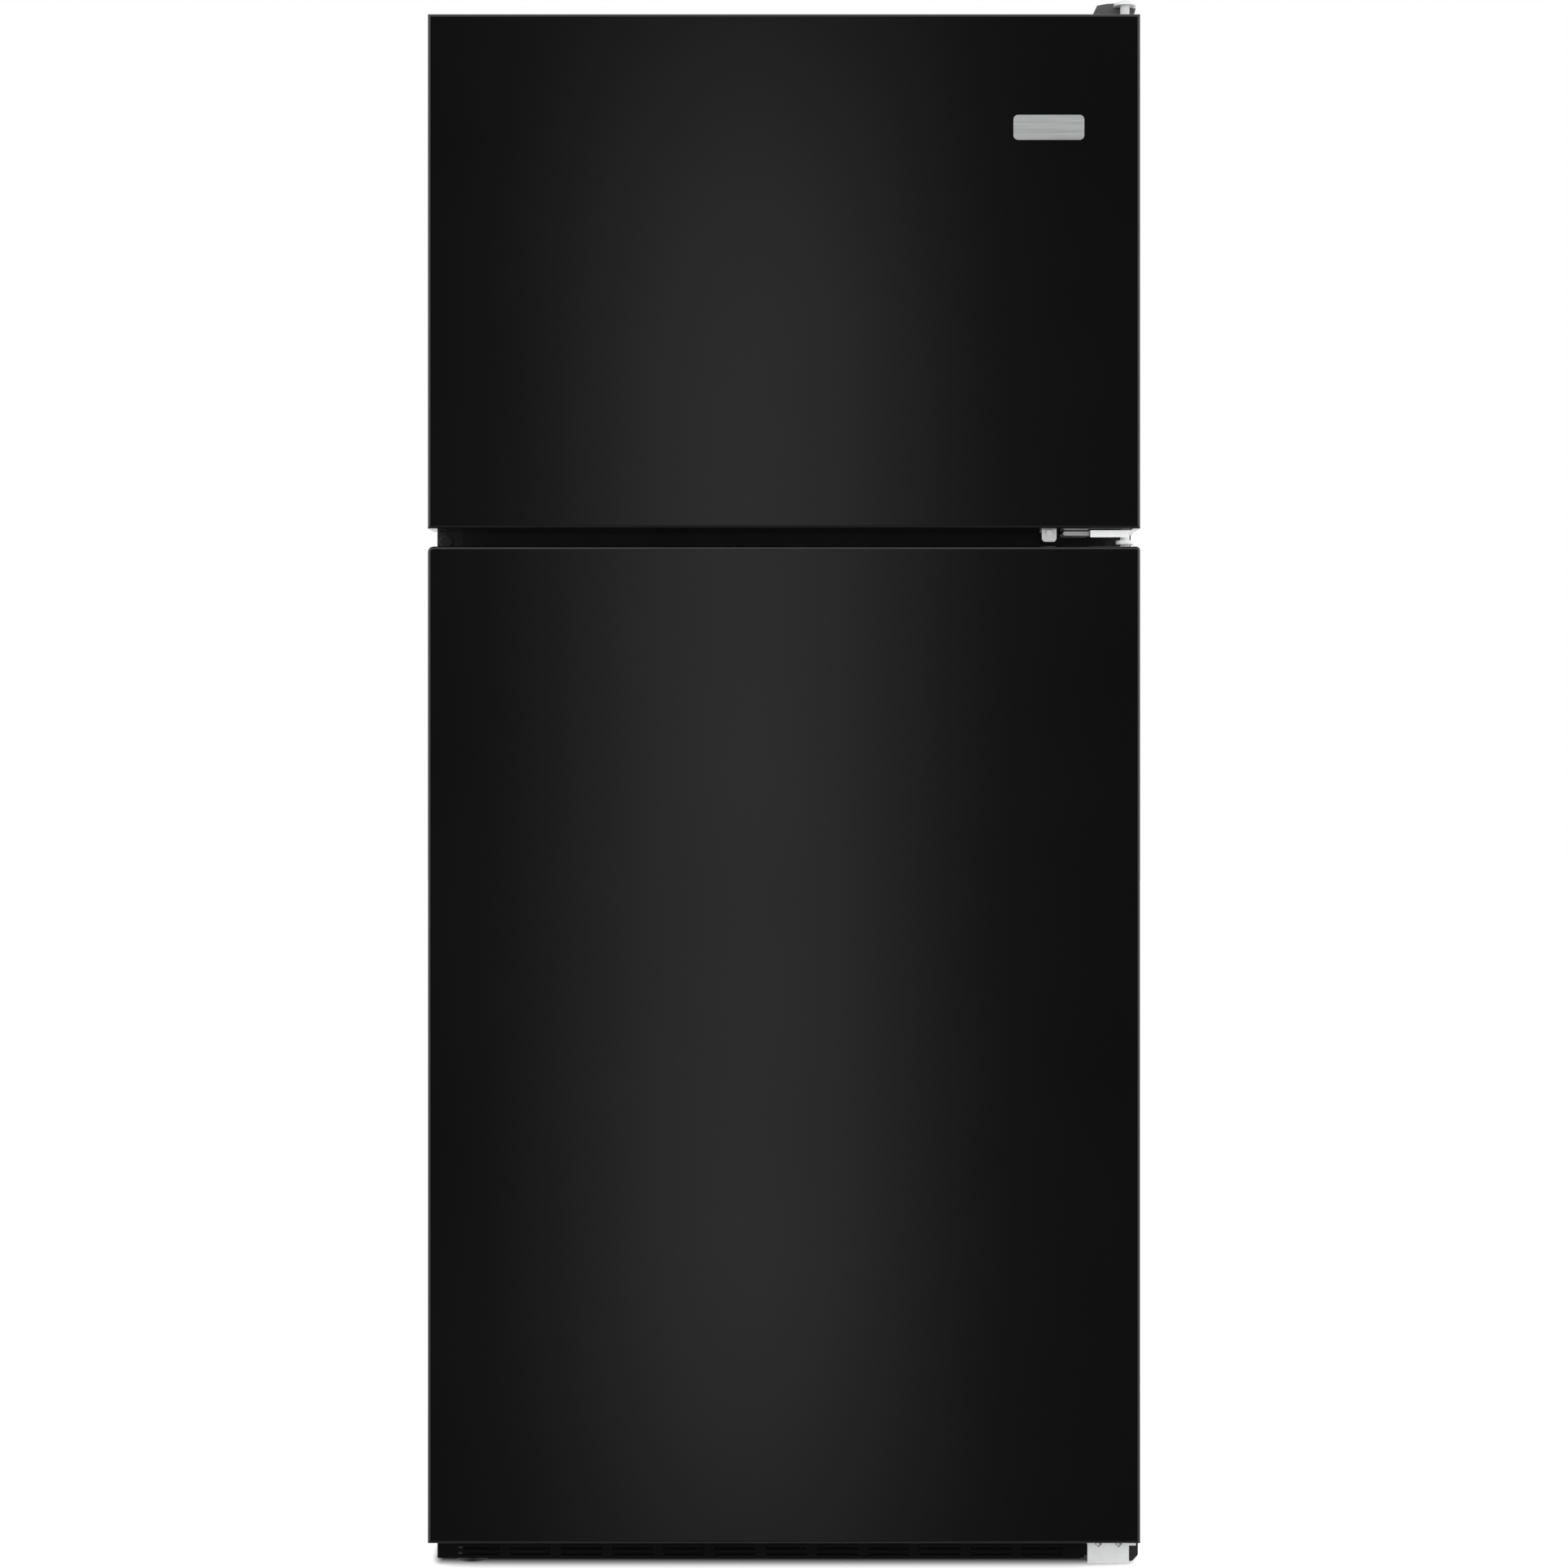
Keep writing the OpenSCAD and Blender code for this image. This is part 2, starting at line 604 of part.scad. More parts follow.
// Slider in its track at the drawer's front, at the low humidity end
module humidity_slider(x) color("#5f6a70") {
    mid = (x[0] + x[1]) / 2;
    block([mid - 29.5, mid - 29.5 + 59 - slider_travel], [crisper_front + 1.5, crisper_front + 4.7],
          [298.4, 311.6]);
    block([mid - 21, mid - 15], [crisper_front - 3.5, crisper_front + 1.5], [300, 310]);
}

module left_humidity_slider() humidity_slider(crisper_x[0]);
module right_humidity_slider() humidity_slider(crisper_x[1]);

// Control box on the ceiling, with an arm to the front that holds the light switch
module control_housing() color("#e9ebec") {
    top = fridge_ceiling - 0.2;
    difference() {
        block([-150, 150], [-145, -25], [1028, top]);
        block([-147.5, 147.5], [-142.5, -27.5], [1030.5, top + 1]);
        rod_z(dial_at[0], dial_at[1], [1000, 1050], 3 + run_clear);
        block([-60, 60], [-78, -42], [1020, 1035]);
    }
    block([150, 312], [-60, -30], [1040, top]);
    difference() {
        block([290, 312], [-288, -30], [1040, top]);
        rod_y(plunger_at[0], [-300, -262], plunger_at[1], 4 + run_clear);
    }
}

module light_lens() color("#f5f3e6", 0.8) {
    block([-70, 70], [-86, -34], [1024.5, 1027.8]);
    block([-59.5, 59.5], [-77.5, -42.5], [1027.8, 1033]);
}

module temperature_dial() color("#c4cacd")
    difference() {
        union() {
            rod_z(dial_at[0], dial_at[1], [1014, 1027.7], 21);
            rod_z(dial_at[0], dial_at[1], [1027, 1046], 3);
        }
        for (s = [-1, 1])
            translate([dial_at[0] + s * 15, dial_at[1], 1018]) cube([20, 50, 12], center = true);
    }

module light_switch_plunger() color("#f4f4f2")
    rod_y(plunger_at[0], [dyke_back + clear, -268], plunger_at[1], 4);

// ---------- doors ----------

// Steel skin over the front and both long sides, with the side grip's opening
module door_panel(z, grip) color("#0f0f10")
    difference() {
        translate([0, 0, z[0] + cap_lip]) linear_extrude(z[1] - z[0] - 2 * cap_lip)
            difference() {
                door_outline(0, door_back - liner_t - 0.2);
                door_outline(sheet, door_back);
            }
        block([-door_w / 2 - 1, 2 - door_w / 2], grip_y, grip);
    }

// Foam of a door, which also fills the raised ring of its liner
module door_foam(z, grip, dyke_z) color("#e6d9a8")
    difference() {
        union() {
            translate([0, 0, z[0] + cap_lip + cap_plug])
                linear_extrude(z[1] - z[0] - 2 * (cap_lip + cap_plug))
                    door_outline(1.2, door_back - liner_t - 0.2);
            ring([dyke_x[0] + 2.7, dyke_x[1] - 2.7], [door_back - liner_t - 1, dyke_back - 2.7],
                 [dyke_z[0] + 2.7, dyke_z[1] - 2.7], dyke_w - 5.4);
        }
        block([-door_w / 2, grip_depth + 0.2 - door_w / 2], [grip_y[0] - 2.2, grip_y[1] + 2.2],
              [grip[0] - 2.2, grip[1] + 2.2]);
    }

// White inner panel with its raised ring and the lugs that the bins stand on
module door_liner(z, dyke_z, bins) color("#f2f3f4") {
    difference() {
        union() {
            block([1.6 - door_w / 2, door_w / 2 - 1.6], [door_back - liner_t, door_back],
                  [z[0] + cap_lip + 0.2, z[1] - cap_lip - 0.2]);
            ring(dyke_x, [door_back - 1, dyke_back], dyke_z, dyke_w);
        }
        ring([dyke_x[0] + 2.5, dyke_x[1] - 2.5], [door_back - 5, dyke_back - 2.5],
             [dyke_z[0] + 2.5, dyke_z[1] - 2.5], dyke_w - 5);
    }
    for (b = bins) {
        z = [max(b - 8, dyke_z[0] + dyke_w - 0.5), b - 0.2];
        block([bin_x[0] - 1.5, bin_x[0] + 7], [door_back - 0.5, dyke_back - 3], z);
        block([bin_x[1] - 7, bin_x[1] + 1.5], [door_back - 0.5, dyke_back - 3], z);
    }
}

module door_gasket(z, low = 8) color("#1d1d1e")
    ring([15 - door_w / 2, door_w / 2 - 15], [door_back, door_back + gasket_t],
         [z[0] + low, z[1] - 8], gasket_w);

// End caps of a door: a lip flush with the skin, its front edge round, and a plug inside the skin that
// is bored for the hinge pin
module door_caps(z) color("#111112")
    for (top = [0, 1])
        difference() {
            translate([0, 0, top == 0 ? z[0] : z[1]]) mirror([0, 0, top]) {
                intersection() {
                    linear_extrude(cap_lip) door_outline(0, door_back - 0.2);
                    union() {
                        block([-400, 400], [door_front + cap_edge_r, door_back], [0, cap_lip]);
                        block([-400, 400], [door_front, door_back], [cap_edge_r, cap_lip]);
                        rod_x([-400, 400], door_front + cap_edge_r, cap_edge_r, cap_edge_r);
                    }
                }
                translate([0, 0, cap_lip])
                    linear_extrude(cap_plug) door_outline(1.2, door_back - liner_t - 0.4);
            }
            rod_z(axis_x, axis_y, top == 0 ? [z[0] - 1, z[0] + 12] : [z[1] - 12, z[1] + 1],
                  pin_r + run_clear);
        }

// Finger grip let into a door's left side
module handle_pocket(grip) color("#0c0c0d")
    difference() {
        block([0.1 - door_w / 2, grip_depth - door_w / 2], [grip_y[0] - 2, grip_y[1] + 2],
              [grip[0] - 2, grip[1] + 2]);
        block([-door_w / 2 - 1, 1.2 - door_w / 2], [grip_y[0] - 5, grip_y[1] + 5],
              [grip[0] - 5, grip[1] + 5]);
        block([-door_w / 2 - 1, grip_depth - 2 - door_w / 2], grip_y, grip);
    }

module door_bin(z, h) tray(bin_x, [door_back + 0.3, door_back + 0.3 + bin_depth], [z, z + h], 2.5);

freezer_z = [freezer_door_z, freezer_door_top];
fridge_z = [fridge_door_z, fridge_door_top];
freezer_dyke = [freezer_floor + 10, freezer_ceiling - 10];
fridge_dyke = [fridge_floor + 14, fridge_ceiling - 8];

module freezer_door_panel() door_panel(freezer_z, grip_z[0]);
module freezer_door_foam() door_foam(freezer_z, grip_z[0], freezer_dyke);
module freezer_door_liner() door_liner(freezer_z, freezer_dyke, freezer_bin_z);
module freezer_door_gasket() door_gasket(freezer_z, 12.5);
module freezer_door_caps() door_caps(freezer_z);
module freezer_handle_pocket() handle_pocket(grip_z[0]);
module freezer_door_bins() color("#dfe6e8", 0.7) for (z = freezer_bin_z) door_bin(z, 80);

// Plain name plate, left blank
module badge() color("#c8cbcd") {
    w = 75;
    h = 26.5;
    r = 5;
    translate([280.5, door_front, 1543]) rotate([90, 0, 0]) linear_extrude(badge_t) {
        square([w - 2 * r, h], center = true);
        square([w, h - 2 * r], center = true);
        for (x = [-1, 1], y = [-1, 1]) translate([x * (w / 2 - r), y * (h / 2 - r)]) circle(r);
    }
}

// Tab that hangs under the upper door, with its screw
module freezer_door_stop() color("#c3c6c8") {
    x = 282.7;
    drop = freezer_door_z - 13;
    r = 4;
    difference() {
        translate([x, -367, 0]) rotate([90, 0, 0]) linear_extrude(plate_t) {
            translate([-7.8, drop + r]) square([15.6, 13 - r]);
            translate([-7.8 + r, drop]) square([15.6 - 2 * r, 13]);
            for (s = [-1, 1]) translate([s * (7.8 - r), drop + r]) circle(r);
        }
        block([x - 20, x + 20], [-375, -365], [freezer_door_z - 0.1, freezer_door_z + 5]);
    }
    block([x - 7.8, x + 7.8], [-367.5, -345], [freezer_door_z - 2, freezer_door_z - 0.1]);
    translate([x, -355, freezer_door_z - 4]) cylinder(r = 4.5, h = 2.5, $fn = 6);
    rod_y(x, [-372, -369.5], freezer_door_z - 4, 3.4);
}

module fridge_door_panel() door_panel(fridge_z, grip_z[1]);
module fridge_door_foam() door_foam(fridge_z, grip_z[1], fridge_dyke);
module fridge_door_liner() door_liner(fridge_z, fridge_dyke, concat(fridge_bin_z, [dairy_z[0]]));
module fridge_door_gasket() door_gasket(fridge_z);
module fridge_door_caps() door_caps(fridge_z);
module fridge_handle_pocket() handle_pocket(grip_z[1]);
module fridge_door_bins() color("#dfe6e8", 0.7)
    for (i = [0:len(fridge_bin_z) - 1]) door_bin(fridge_bin_z[i], i == 0 ? 115 : 85);

// Box for butter at the top of the lower door, open to the back of the refrigerator
module dairy_box() color("#e8ecee")
    difference() {
        block(dairy_x, [door_back + 0.3, dairy_front], dairy_z);
        block([dairy_x[0] + 2.5, dairy_x[1] - 2.5], [door_back + 2.8, dairy_front + 5],
              [dairy_z[0] + 2.5, dairy_z[1] - 2.5]);
        block([dairy_x[0] + 2.5, dairy_x[1] - 2.5], [lid_axis[0] - 6, dairy_front + 5],
              [dairy_z[0] + 2.5, dairy_z[1] + 5]);
        rod_x([dairy_x[0] - 1, dairy_x[1] + 1], lid_axis[0], lid_axis[1], 2 + run_clear);
    }

// Flap of the dairy box, hung on pins at its top edge
module dairy_lid() color("#dfe8ea", 0.7) {
    x = [dairy_x[0] + 3, dairy_x[1] - 3];
    block(x, [lid_axis[0] - 1.2, lid_axis[0] + 1.2], [dairy_z[0] + 4, lid_axis[1]]);
    rod_x(x, lid_axis[0], lid_axis[1], 3);
    rod_x([dairy_x[0] + 0.5, dairy_x[1] - 0.5], lid_axis[0], lid_axis[1], 2);
    block([-190, -131], [lid_axis[0], lid_axis[0] + 6], [dairy_z[0] + 10, dairy_z[0] + 14]);
}

// ---------- assembly ----------

cabinet_shell();
back_panel();
cabinet_foam();
freezer_liner();
fridge_liner();
center_rail();
base_frame();
base_grille();
hinge_hole_plugs();
top_hinge();
top_hinge_cover();
center_hinge();
bottom_hinge();
bottom_hinge_side_cover();
hex_screws();
roller_brackets();
machine_cover();
cord_grommet();
compressor();
condenser_coil();
drain_pan();
fan_motors();
evaporator_cover();
evaporator_coil();
freezer_shelf();
shelf_frames();
shelf_glass();
crisper_cover_frame();
control_housing();
light_lens();
left_roller();
right_roller();
left_leveling_leg();
right_leveling_leg();
left_crisper();
right_crisper();
left_humidity_slider();
right_humidity_slider();
temperature_dial();
light_switch_plunger();
evaporator_fan_blade();
condenser_fan_blade();
freezer_door_panel();
freezer_door_foam();
freezer_door_liner();
freezer_door_gasket();
freezer_door_caps();
freezer_handle_pocket();
badge();
freezer_door_bins();
freezer_door_stop();
fridge_door_panel();
fridge_door_foam();
fridge_door_liner();
fridge_door_gasket();
fridge_door_caps();
fridge_handle_pocket();
fridge_door_bins();
dairy_box();
dairy_lid();
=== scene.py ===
import math

import bmesh
import bpy
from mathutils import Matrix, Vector


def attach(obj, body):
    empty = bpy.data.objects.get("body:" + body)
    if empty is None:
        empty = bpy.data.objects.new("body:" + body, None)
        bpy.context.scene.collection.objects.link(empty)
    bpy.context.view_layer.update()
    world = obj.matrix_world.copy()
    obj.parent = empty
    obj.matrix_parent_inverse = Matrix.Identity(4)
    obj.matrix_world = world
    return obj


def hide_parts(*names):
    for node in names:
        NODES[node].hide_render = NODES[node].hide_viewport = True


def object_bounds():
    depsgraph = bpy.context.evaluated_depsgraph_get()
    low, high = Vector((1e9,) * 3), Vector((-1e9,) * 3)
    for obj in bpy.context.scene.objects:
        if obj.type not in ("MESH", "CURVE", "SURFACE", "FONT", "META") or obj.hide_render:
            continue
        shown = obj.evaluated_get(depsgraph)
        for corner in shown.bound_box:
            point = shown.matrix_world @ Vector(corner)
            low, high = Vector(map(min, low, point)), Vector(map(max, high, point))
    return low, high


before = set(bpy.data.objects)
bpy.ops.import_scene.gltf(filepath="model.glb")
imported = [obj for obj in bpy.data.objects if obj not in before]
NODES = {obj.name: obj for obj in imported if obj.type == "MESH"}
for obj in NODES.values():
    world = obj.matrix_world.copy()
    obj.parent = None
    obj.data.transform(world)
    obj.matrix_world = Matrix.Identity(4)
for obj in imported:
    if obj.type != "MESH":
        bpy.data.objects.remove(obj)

CAD_BOX = [list(c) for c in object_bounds()]
X, Y, Z = 0, 1, 2
scene = bpy.context.scene


# ---------------------------------------------------------------- node helpers

def maths(tree, op, a, b=None):
    """A maths node whose inputs are numbers or other nodes' outputs."""
    n = tree.nodes.new("ShaderNodeMath")
    n.operation = op
    for socket, v in zip(n.inputs, (a, b)):
        if isinstance(v, (int, float)):
            socket.default_value = v
        elif v is not None:
            tree.links.new(v, socket)
    return n.outputs[0]


def product(tree, first, *others):
    """Numbers and outputs multiplied together."""
    for v in others:
        first = maths(tree, "MULTIPLY", first, v)
    return first


def ease(tree, value, lo, hi, a=0.0, b=1.0):
    """Goes smoothly from a to b as value goes from lo to hi."""
    n = tree.nodes.new("ShaderNodeMapRange")
    n.interpolation_type = "SMOOTHSTEP"
    for key, v in (("From Min", lo), ("From Max", hi), ("To Min", a), ("To Max", b)):
        n.inputs[key].default_value = v
    tree.links.new(value, n.inputs["Value"])
    return n.outputs["Result"]


# ---------------------------------------------------------------- materials

class Build:
    """A node-based material: base colour, roughness and relief all vary over the surface."""

    def __init__(self, name, metallic=0.0, ior=1.5, transmission=0.0, coat=0.0):
        self.mat = bpy.data.materials.new(name)
        self.mat.use_nodes = True
        self.tree = self.mat.node_tree
        self.tree.nodes.clear()
        self.out = self.node("ShaderNodeOutputMaterial")
        self.bsdf = self.node("ShaderNodeBsdfPrincipled")
        self.bsdf.inputs["Metallic"].default_value = metallic
        self.bsdf.inputs["IOR"].default_value = ior
        self.bsdf.inputs["Transmission Weight"].default_value = transmission
        self.bsdf.inputs["Coat Weight"].default_value = coat
        self.bsdf.inputs["Coat Roughness"].default_value = 0.05
        self.link(self.bsdf.outputs["BSDF"], self.out.inputs["Surface"])
        self.coord = self.node("ShaderNodeTexCoord")

    def node(self, kind):
        return self.tree.nodes.new(kind)

    def link(self, a, b):
        self.tree.links.new(a, b)

    def mapped(self, scale):
        m = self.node("ShaderNodeMapping")
        m.inputs["Scale"].default_value = scale
        self.link(self.coord.outputs["Object"], m.inputs["Vector"])
        return m.outputs["Vector"]

    def noise(self, scale, detail=3.0, stretch=None):
        n = self.node("ShaderNodeTexNoise")
        n.inputs["Scale"].default_value = scale
        n.inputs["Detail"].default_value = detail
        n.inputs["Roughness"].default_value = 0.5
        self.link(self.mapped(stretch) if stretch else self.coord.outputs["Object"], n.inputs["Vector"])
        return n.outputs["Fac"]

    def cells(self, scale, output="Distance", feature="F1"):
        n = self.node("ShaderNodeTexVoronoi")
        n.feature = feature
        n.inputs["Scale"].default_value = scale
        self.link(self.coord.outputs["Object"], n.inputs["Vector"])
        return n.outputs[output]

    def remap(self, value, lo, hi, from_lo=0.3, from_hi=0.7):
        n = self.node("ShaderNodeMapRange")
        n.inputs["From Min"].default_value = from_lo
        n.inputs["From Max"].default_value = from_hi
        n.inputs["To Min"].default_value = lo
        n.inputs["To Max"].default_value = hi
        self.link(value, n.inputs["Value"])
        return n.outputs["Result"]

    def colours(self, value, a, b, lo=0.3, hi=0.7):
        n = self.node("ShaderNodeValToRGB")
        n.color_ramp.elements[0].position = lo
        n.color_ramp.elements[1].position = hi
        n.color_ramp.elements[0].color = (*a, 1.0)
        n.color_ramp.elements[1].color = (*b, 1.0)
        self.link(value, n.inputs["Fac"])
        self.link(n.outputs["Color"], self.bsdf.inputs["Base Color"])

    def roughness(self, value, lo, hi, from_lo=0.3, from_hi=0.7):
        self.link(self.remap(value, lo, hi, from_lo, from_hi), self.bsdf.inputs["Roughness"])

    def relief(self, layers):
        """layers: (height value, strength, distance in metres), from the coarsest to the finest."""
        last = None
        for height, strength, distance in layers:
            n = self.node("ShaderNodeBump")
            n.inputs["Strength"].default_value = strength
            n.inputs["Distance"].default_value = distance
            self.link(height, n.inputs["Height"])
            if last is not None:
                self.link(last, n.inputs["Normal"])
            last = n.outputs["Normal"]
        self.link(last, self.bsdf.inputs["Normal"])


def plain(name, a, b, rough, grain=1400.0, depth=0.00006, strength=0.25, patch=9.0, **k):
    """Moulded or painted surface: faint patches of tone, uneven gloss and a fine grain."""
    m = Build(name, **k)
    m.colours(m.noise(patch, 4.0), a, b)
    m.roughness(m.noise(patch * 3.1, 3.0), *rough)
    m.relief([(m.noise(grain, 2.0), strength, depth)])
    return m.mat


def grey(v, warm=0.0):
    """A grey of brightness v. warm adds red and takes away as much blue."""
    return (v * (1 + warm), v, v * (1 - warm))


def door_paint():
    """Glossy black paint with the faint waviness of a sprayed panel."""
    m = Build("door_black_paint")
    m.colours(m.noise(5.0, 3.0), grey(0.0031), grey(0.0037))
    m.roughness(m.noise(3.0, 2.0), 0.095, 0.110)
    m.relief([(m.noise(420.0, 1.0), 0.008, 0.00004)])
    return m.mat


def pebbled_paint():
    """Black paint over a pebbled sheet."""
    m = Build("cabinet_textured_black_paint")
    m.colours(m.noise(12.0, 5.0), grey(0.0075), grey(0.0105))
    m.roughness(m.noise(30.0, 3.0), 0.36, 0.46)
    m.relief([(m.cells(420.0, feature="SMOOTH_F1"), 0.2, 0.00022), (m.noise(1600.0, 2.0), 0.2, 0.00008)])
    return m.mat


def galvanised():
    """Zinc coated sheet with its spangle, one tone and gloss to each crystal."""
    m = Build("galvanised_sheet", metallic=1.0)
    m.colours(m.cells(160.0, "Color"), grey(0.40), grey(0.58), 0.1, 0.9)
    m.roughness(m.cells(160.0, "Color"), 0.32, 0.5, 0.0, 1.0)
    m.relief([(m.noise(900.0, 3.0), 0.12, 0.00005)])
    return m.mat


def plated(name, a=0.62, b=0.78, rough=(0.36, 0.5), metallic=0.3):
    """Zinc plated steel with a pale passivated skin: slightly clouded, with fine rolling lines."""
    m = Build(name, metallic=metallic)
    m.colours(m.noise(70.0, 5.0), grey(a, -0.006), grey(b, -0.006))
    m.roughness(m.noise(260.0, 4.0), *rough)
    m.relief([(m.noise(700.0, 2.0, stretch=(0.05, 1.0, 1.0)), 0.05, 0.00003),
              (m.noise(2400.0), 0.04, 0.00002)])
    return m.mat


def satin_plate():
    """Satin metal brushed along X."""
    m = Build("satin_plate", metallic=0.35)
    m.colours(m.noise(500.0, 3.0, stretch=(0.03, 1.0, 1.0)), grey(0.36, -0.01), grey(0.46, -0.01))
    m.roughness(m.noise(900.0, 2.0, stretch=(0.03, 1.0, 1.0)), 0.30, 0.42)
    m.relief([(m.noise(2200.0, 2.0, stretch=(0.02, 1.0, 1.0)), 0.15, 0.00003)])
    return m.mat


def clear_plastic(name, tint, rough=(0.05, 0.12), ior=1.49):
    """Tinted clear plastic or glass, slightly uneven in tint and polish."""
    m = Build(name, transmission=1.0, ior=ior)
    m.colours(m.noise(14.0, 3.0), tint, tuple(min(1.0, c * 1.04) for c in tint))
    m.roughness(m.noise(22.0, 3.0), *rough)
    m.relief([(m.noise(120.0, 2.0), 0.05, 0.00006)])
    return m.mat


def foam():
    """Cut polyurethane foam with open cells."""
    m = Build("insulating_foam")
    m.colours(m.noise(60.0, 6.0), (0.62, 0.50, 0.25), (0.74, 0.62, 0.34))
    m.roughness(m.noise(120.0, 3.0), 0.75, 0.92)
    m.relief([(m.cells(700.0), 0.5, 0.0004)])
    return m.mat


M = {
    "door": door_paint(),
    "shell": pebbled_paint(),
    "galvanised": galvanised(),
    "dark_steel": plain("dark_painted_steel", grey(0.020), grey(0.030), (0.40, 0.55)),
    "gap_black": plain("black_painted_rail", grey(0.0035), grey(0.0050), (0.35, 0.48)),
    "base_black": plain("black_base_paint", grey(0.0015), grey(0.0025), (0.5, 0.62), ior=1.2),
    "black_plastic": plain("black_grained_plastic", grey(0.007), grey(0.010), (0.42, 0.55),
                           1100.0, 0.00012, 0.4),
    "plug": plain("plug_plastic", grey(0.010), grey(0.014), (0.35, 0.45)),
    "cover_grey": plain("dark_grey_cover_plastic", grey(0.085), grey(0.105), (0.40, 0.52),
                        1300.0, 0.0001, 0.35),
    "white": plain("white_liner_plastic", grey(0.81, 0.004), grey(0.835, 0.004), (0.29, 0.37),
                   900.0, 0.00004, 0.08, 4.0),
    "white_trim": plain("white_moulded_plastic", grey(0.76), grey(0.82), (0.28, 0.40), 1200.0, 0.00006, 0.3),
    "pale_grey": plain("pale_grey_moulded_plastic", grey(0.58, -0.02), grey(0.66, -0.02), (0.30, 0.42)),
    "slider": plain("slate_grey_plastic", (0.055, 0.07, 0.08), (0.07, 0.085, 0.095), (0.32, 0.45)),
    "dial": plain("grey_dial_plastic", grey(0.36, -0.02), grey(0.44, -0.02), (0.30, 0.42)),
    "coated_wire": plain("white_coated_wire", grey(0.74), grey(0.82), (0.29, 0.38), 500.0, 0.0001, 0.3),
    "nylon": plain("black_nylon", grey(0.012), grey(0.018), (0.40, 0.55), 1200.0, 0.0001, 0.35),
    "white_nylon": plain("white_nylon", grey(0.72), grey(0.80), (0.35, 0.5)),
    "stop_nylon": plain("light_grey_nylon", grey(0.66), grey(0.74), (0.28, 0.40), 1200.0, 0.00008, 0.3),
    "vinyl": plain("black_gasket_vinyl", grey(0.010), grey(0.015), (0.45, 0.60), 1500.0, 0.0001, 0.35),
    "rubber": plain("black_rubber", grey(0.012), grey(0.018), (0.6, 0.75), 1300.0, 0.00015, 0.4),
    "enamel": plain("black_enamel", grey(0.006), grey(0.009), (0.16, 0.26), 300.0, 0.0001, 0.15, coat=0.4),
    "motor": plain("motor_steel", grey(0.10), grey(0.15), (0.35, 0.5), metallic=0.6),
    "fins": plain("bare_aluminium", grey(0.62), grey(0.74), (0.28, 0.42), metallic=1.0),
    "plated": plated("zinc_plated_steel"),
    "bright": plated("bright_zinc_plate", 0.93, 0.97, (0.38, 0.5), 0.0),
    "pale_zinc": plated("pale_zinc_plate", 0.72, 0.80, (0.38, 0.5), 0.0),
    "dull": plated("dull_zinc_plate", 0.53, 0.59, (0.4, 0.52), 0.05),
    "satin": satin_plate(),
    "clear": clear_plastic("clear_bin_plastic", (0.90, 0.945, 0.955)),
    "crisper": clear_plastic("clear_crisper_plastic", (0.86, 0.92, 0.94), (0.08, 0.16)),
    "glass": clear_plastic("tempered_glass", (0.88, 0.955, 0.93), (0.01, 0.03), 1.52),
    "lens": clear_plastic("frosted_lens_plastic", (0.90, 0.89, 0.84), (0.35, 0.5)),
    "foam": foam(),
}

# Which material each CAD node has
FINISH = {
    "cabinet_shell": "shell", "back_panel": "galvanised", "cabinet_foam": "foam",
    "freezer_liner": "white", "fridge_liner": "white", "center_rail": "gap_black",
    "base_frame": "base_black", "base_grille": "base_black", "hinge_hole_plugs": "plug",
    "top_hinge": "pale_zinc", "top_hinge_cover": "cover_grey", "center_hinge": "bright",
    "bottom_hinge": "dull", "bottom_hinge_side_cover": "black_plastic", "hex_screws": "plated",
    "roller_brackets": "plated", "machine_cover": "dark_steel", "cord_grommet": "rubber",
    "compressor": "enamel", "condenser_coil": "enamel", "drain_pan": "nylon", "fan_motors": "motor",
    "evaporator_cover": "white_trim", "evaporator_coil": "fins", "freezer_shelf": "coated_wire",
    "shelf_frames": "pale_grey", "shelf_glass": "glass", "crisper_cover_frame": "pale_grey",
    "control_housing": "white_trim", "light_lens": "lens", "left_roller": "nylon",
    "right_roller": "nylon", "left_leveling_leg": "nylon", "right_leveling_leg": "nylon",
    "left_crisper": "crisper", "right_crisper": "crisper", "left_humidity_slider": "slider",
    "right_humidity_slider": "slider", "temperature_dial": "dial",
    "light_switch_plunger": "white_nylon", "evaporator_fan_blade": "nylon",
    "condenser_fan_blade": "nylon", "badge": "satin", "freezer_door_stop": "stop_nylon",
    "dairy_box": "white_trim", "dairy_lid": "clear",
}
for d in ("freezer", "fridge"):
    FINISH.update({
        d + "_door_panel": "door", d + "_door_foam": "foam", d + "_door_liner": "white",
        d + "_door_gasket": "vinyl", d + "_door_caps": "door", d + "_handle_pocket": "black_plastic",
        d + "_door_bins": "clear",
    })

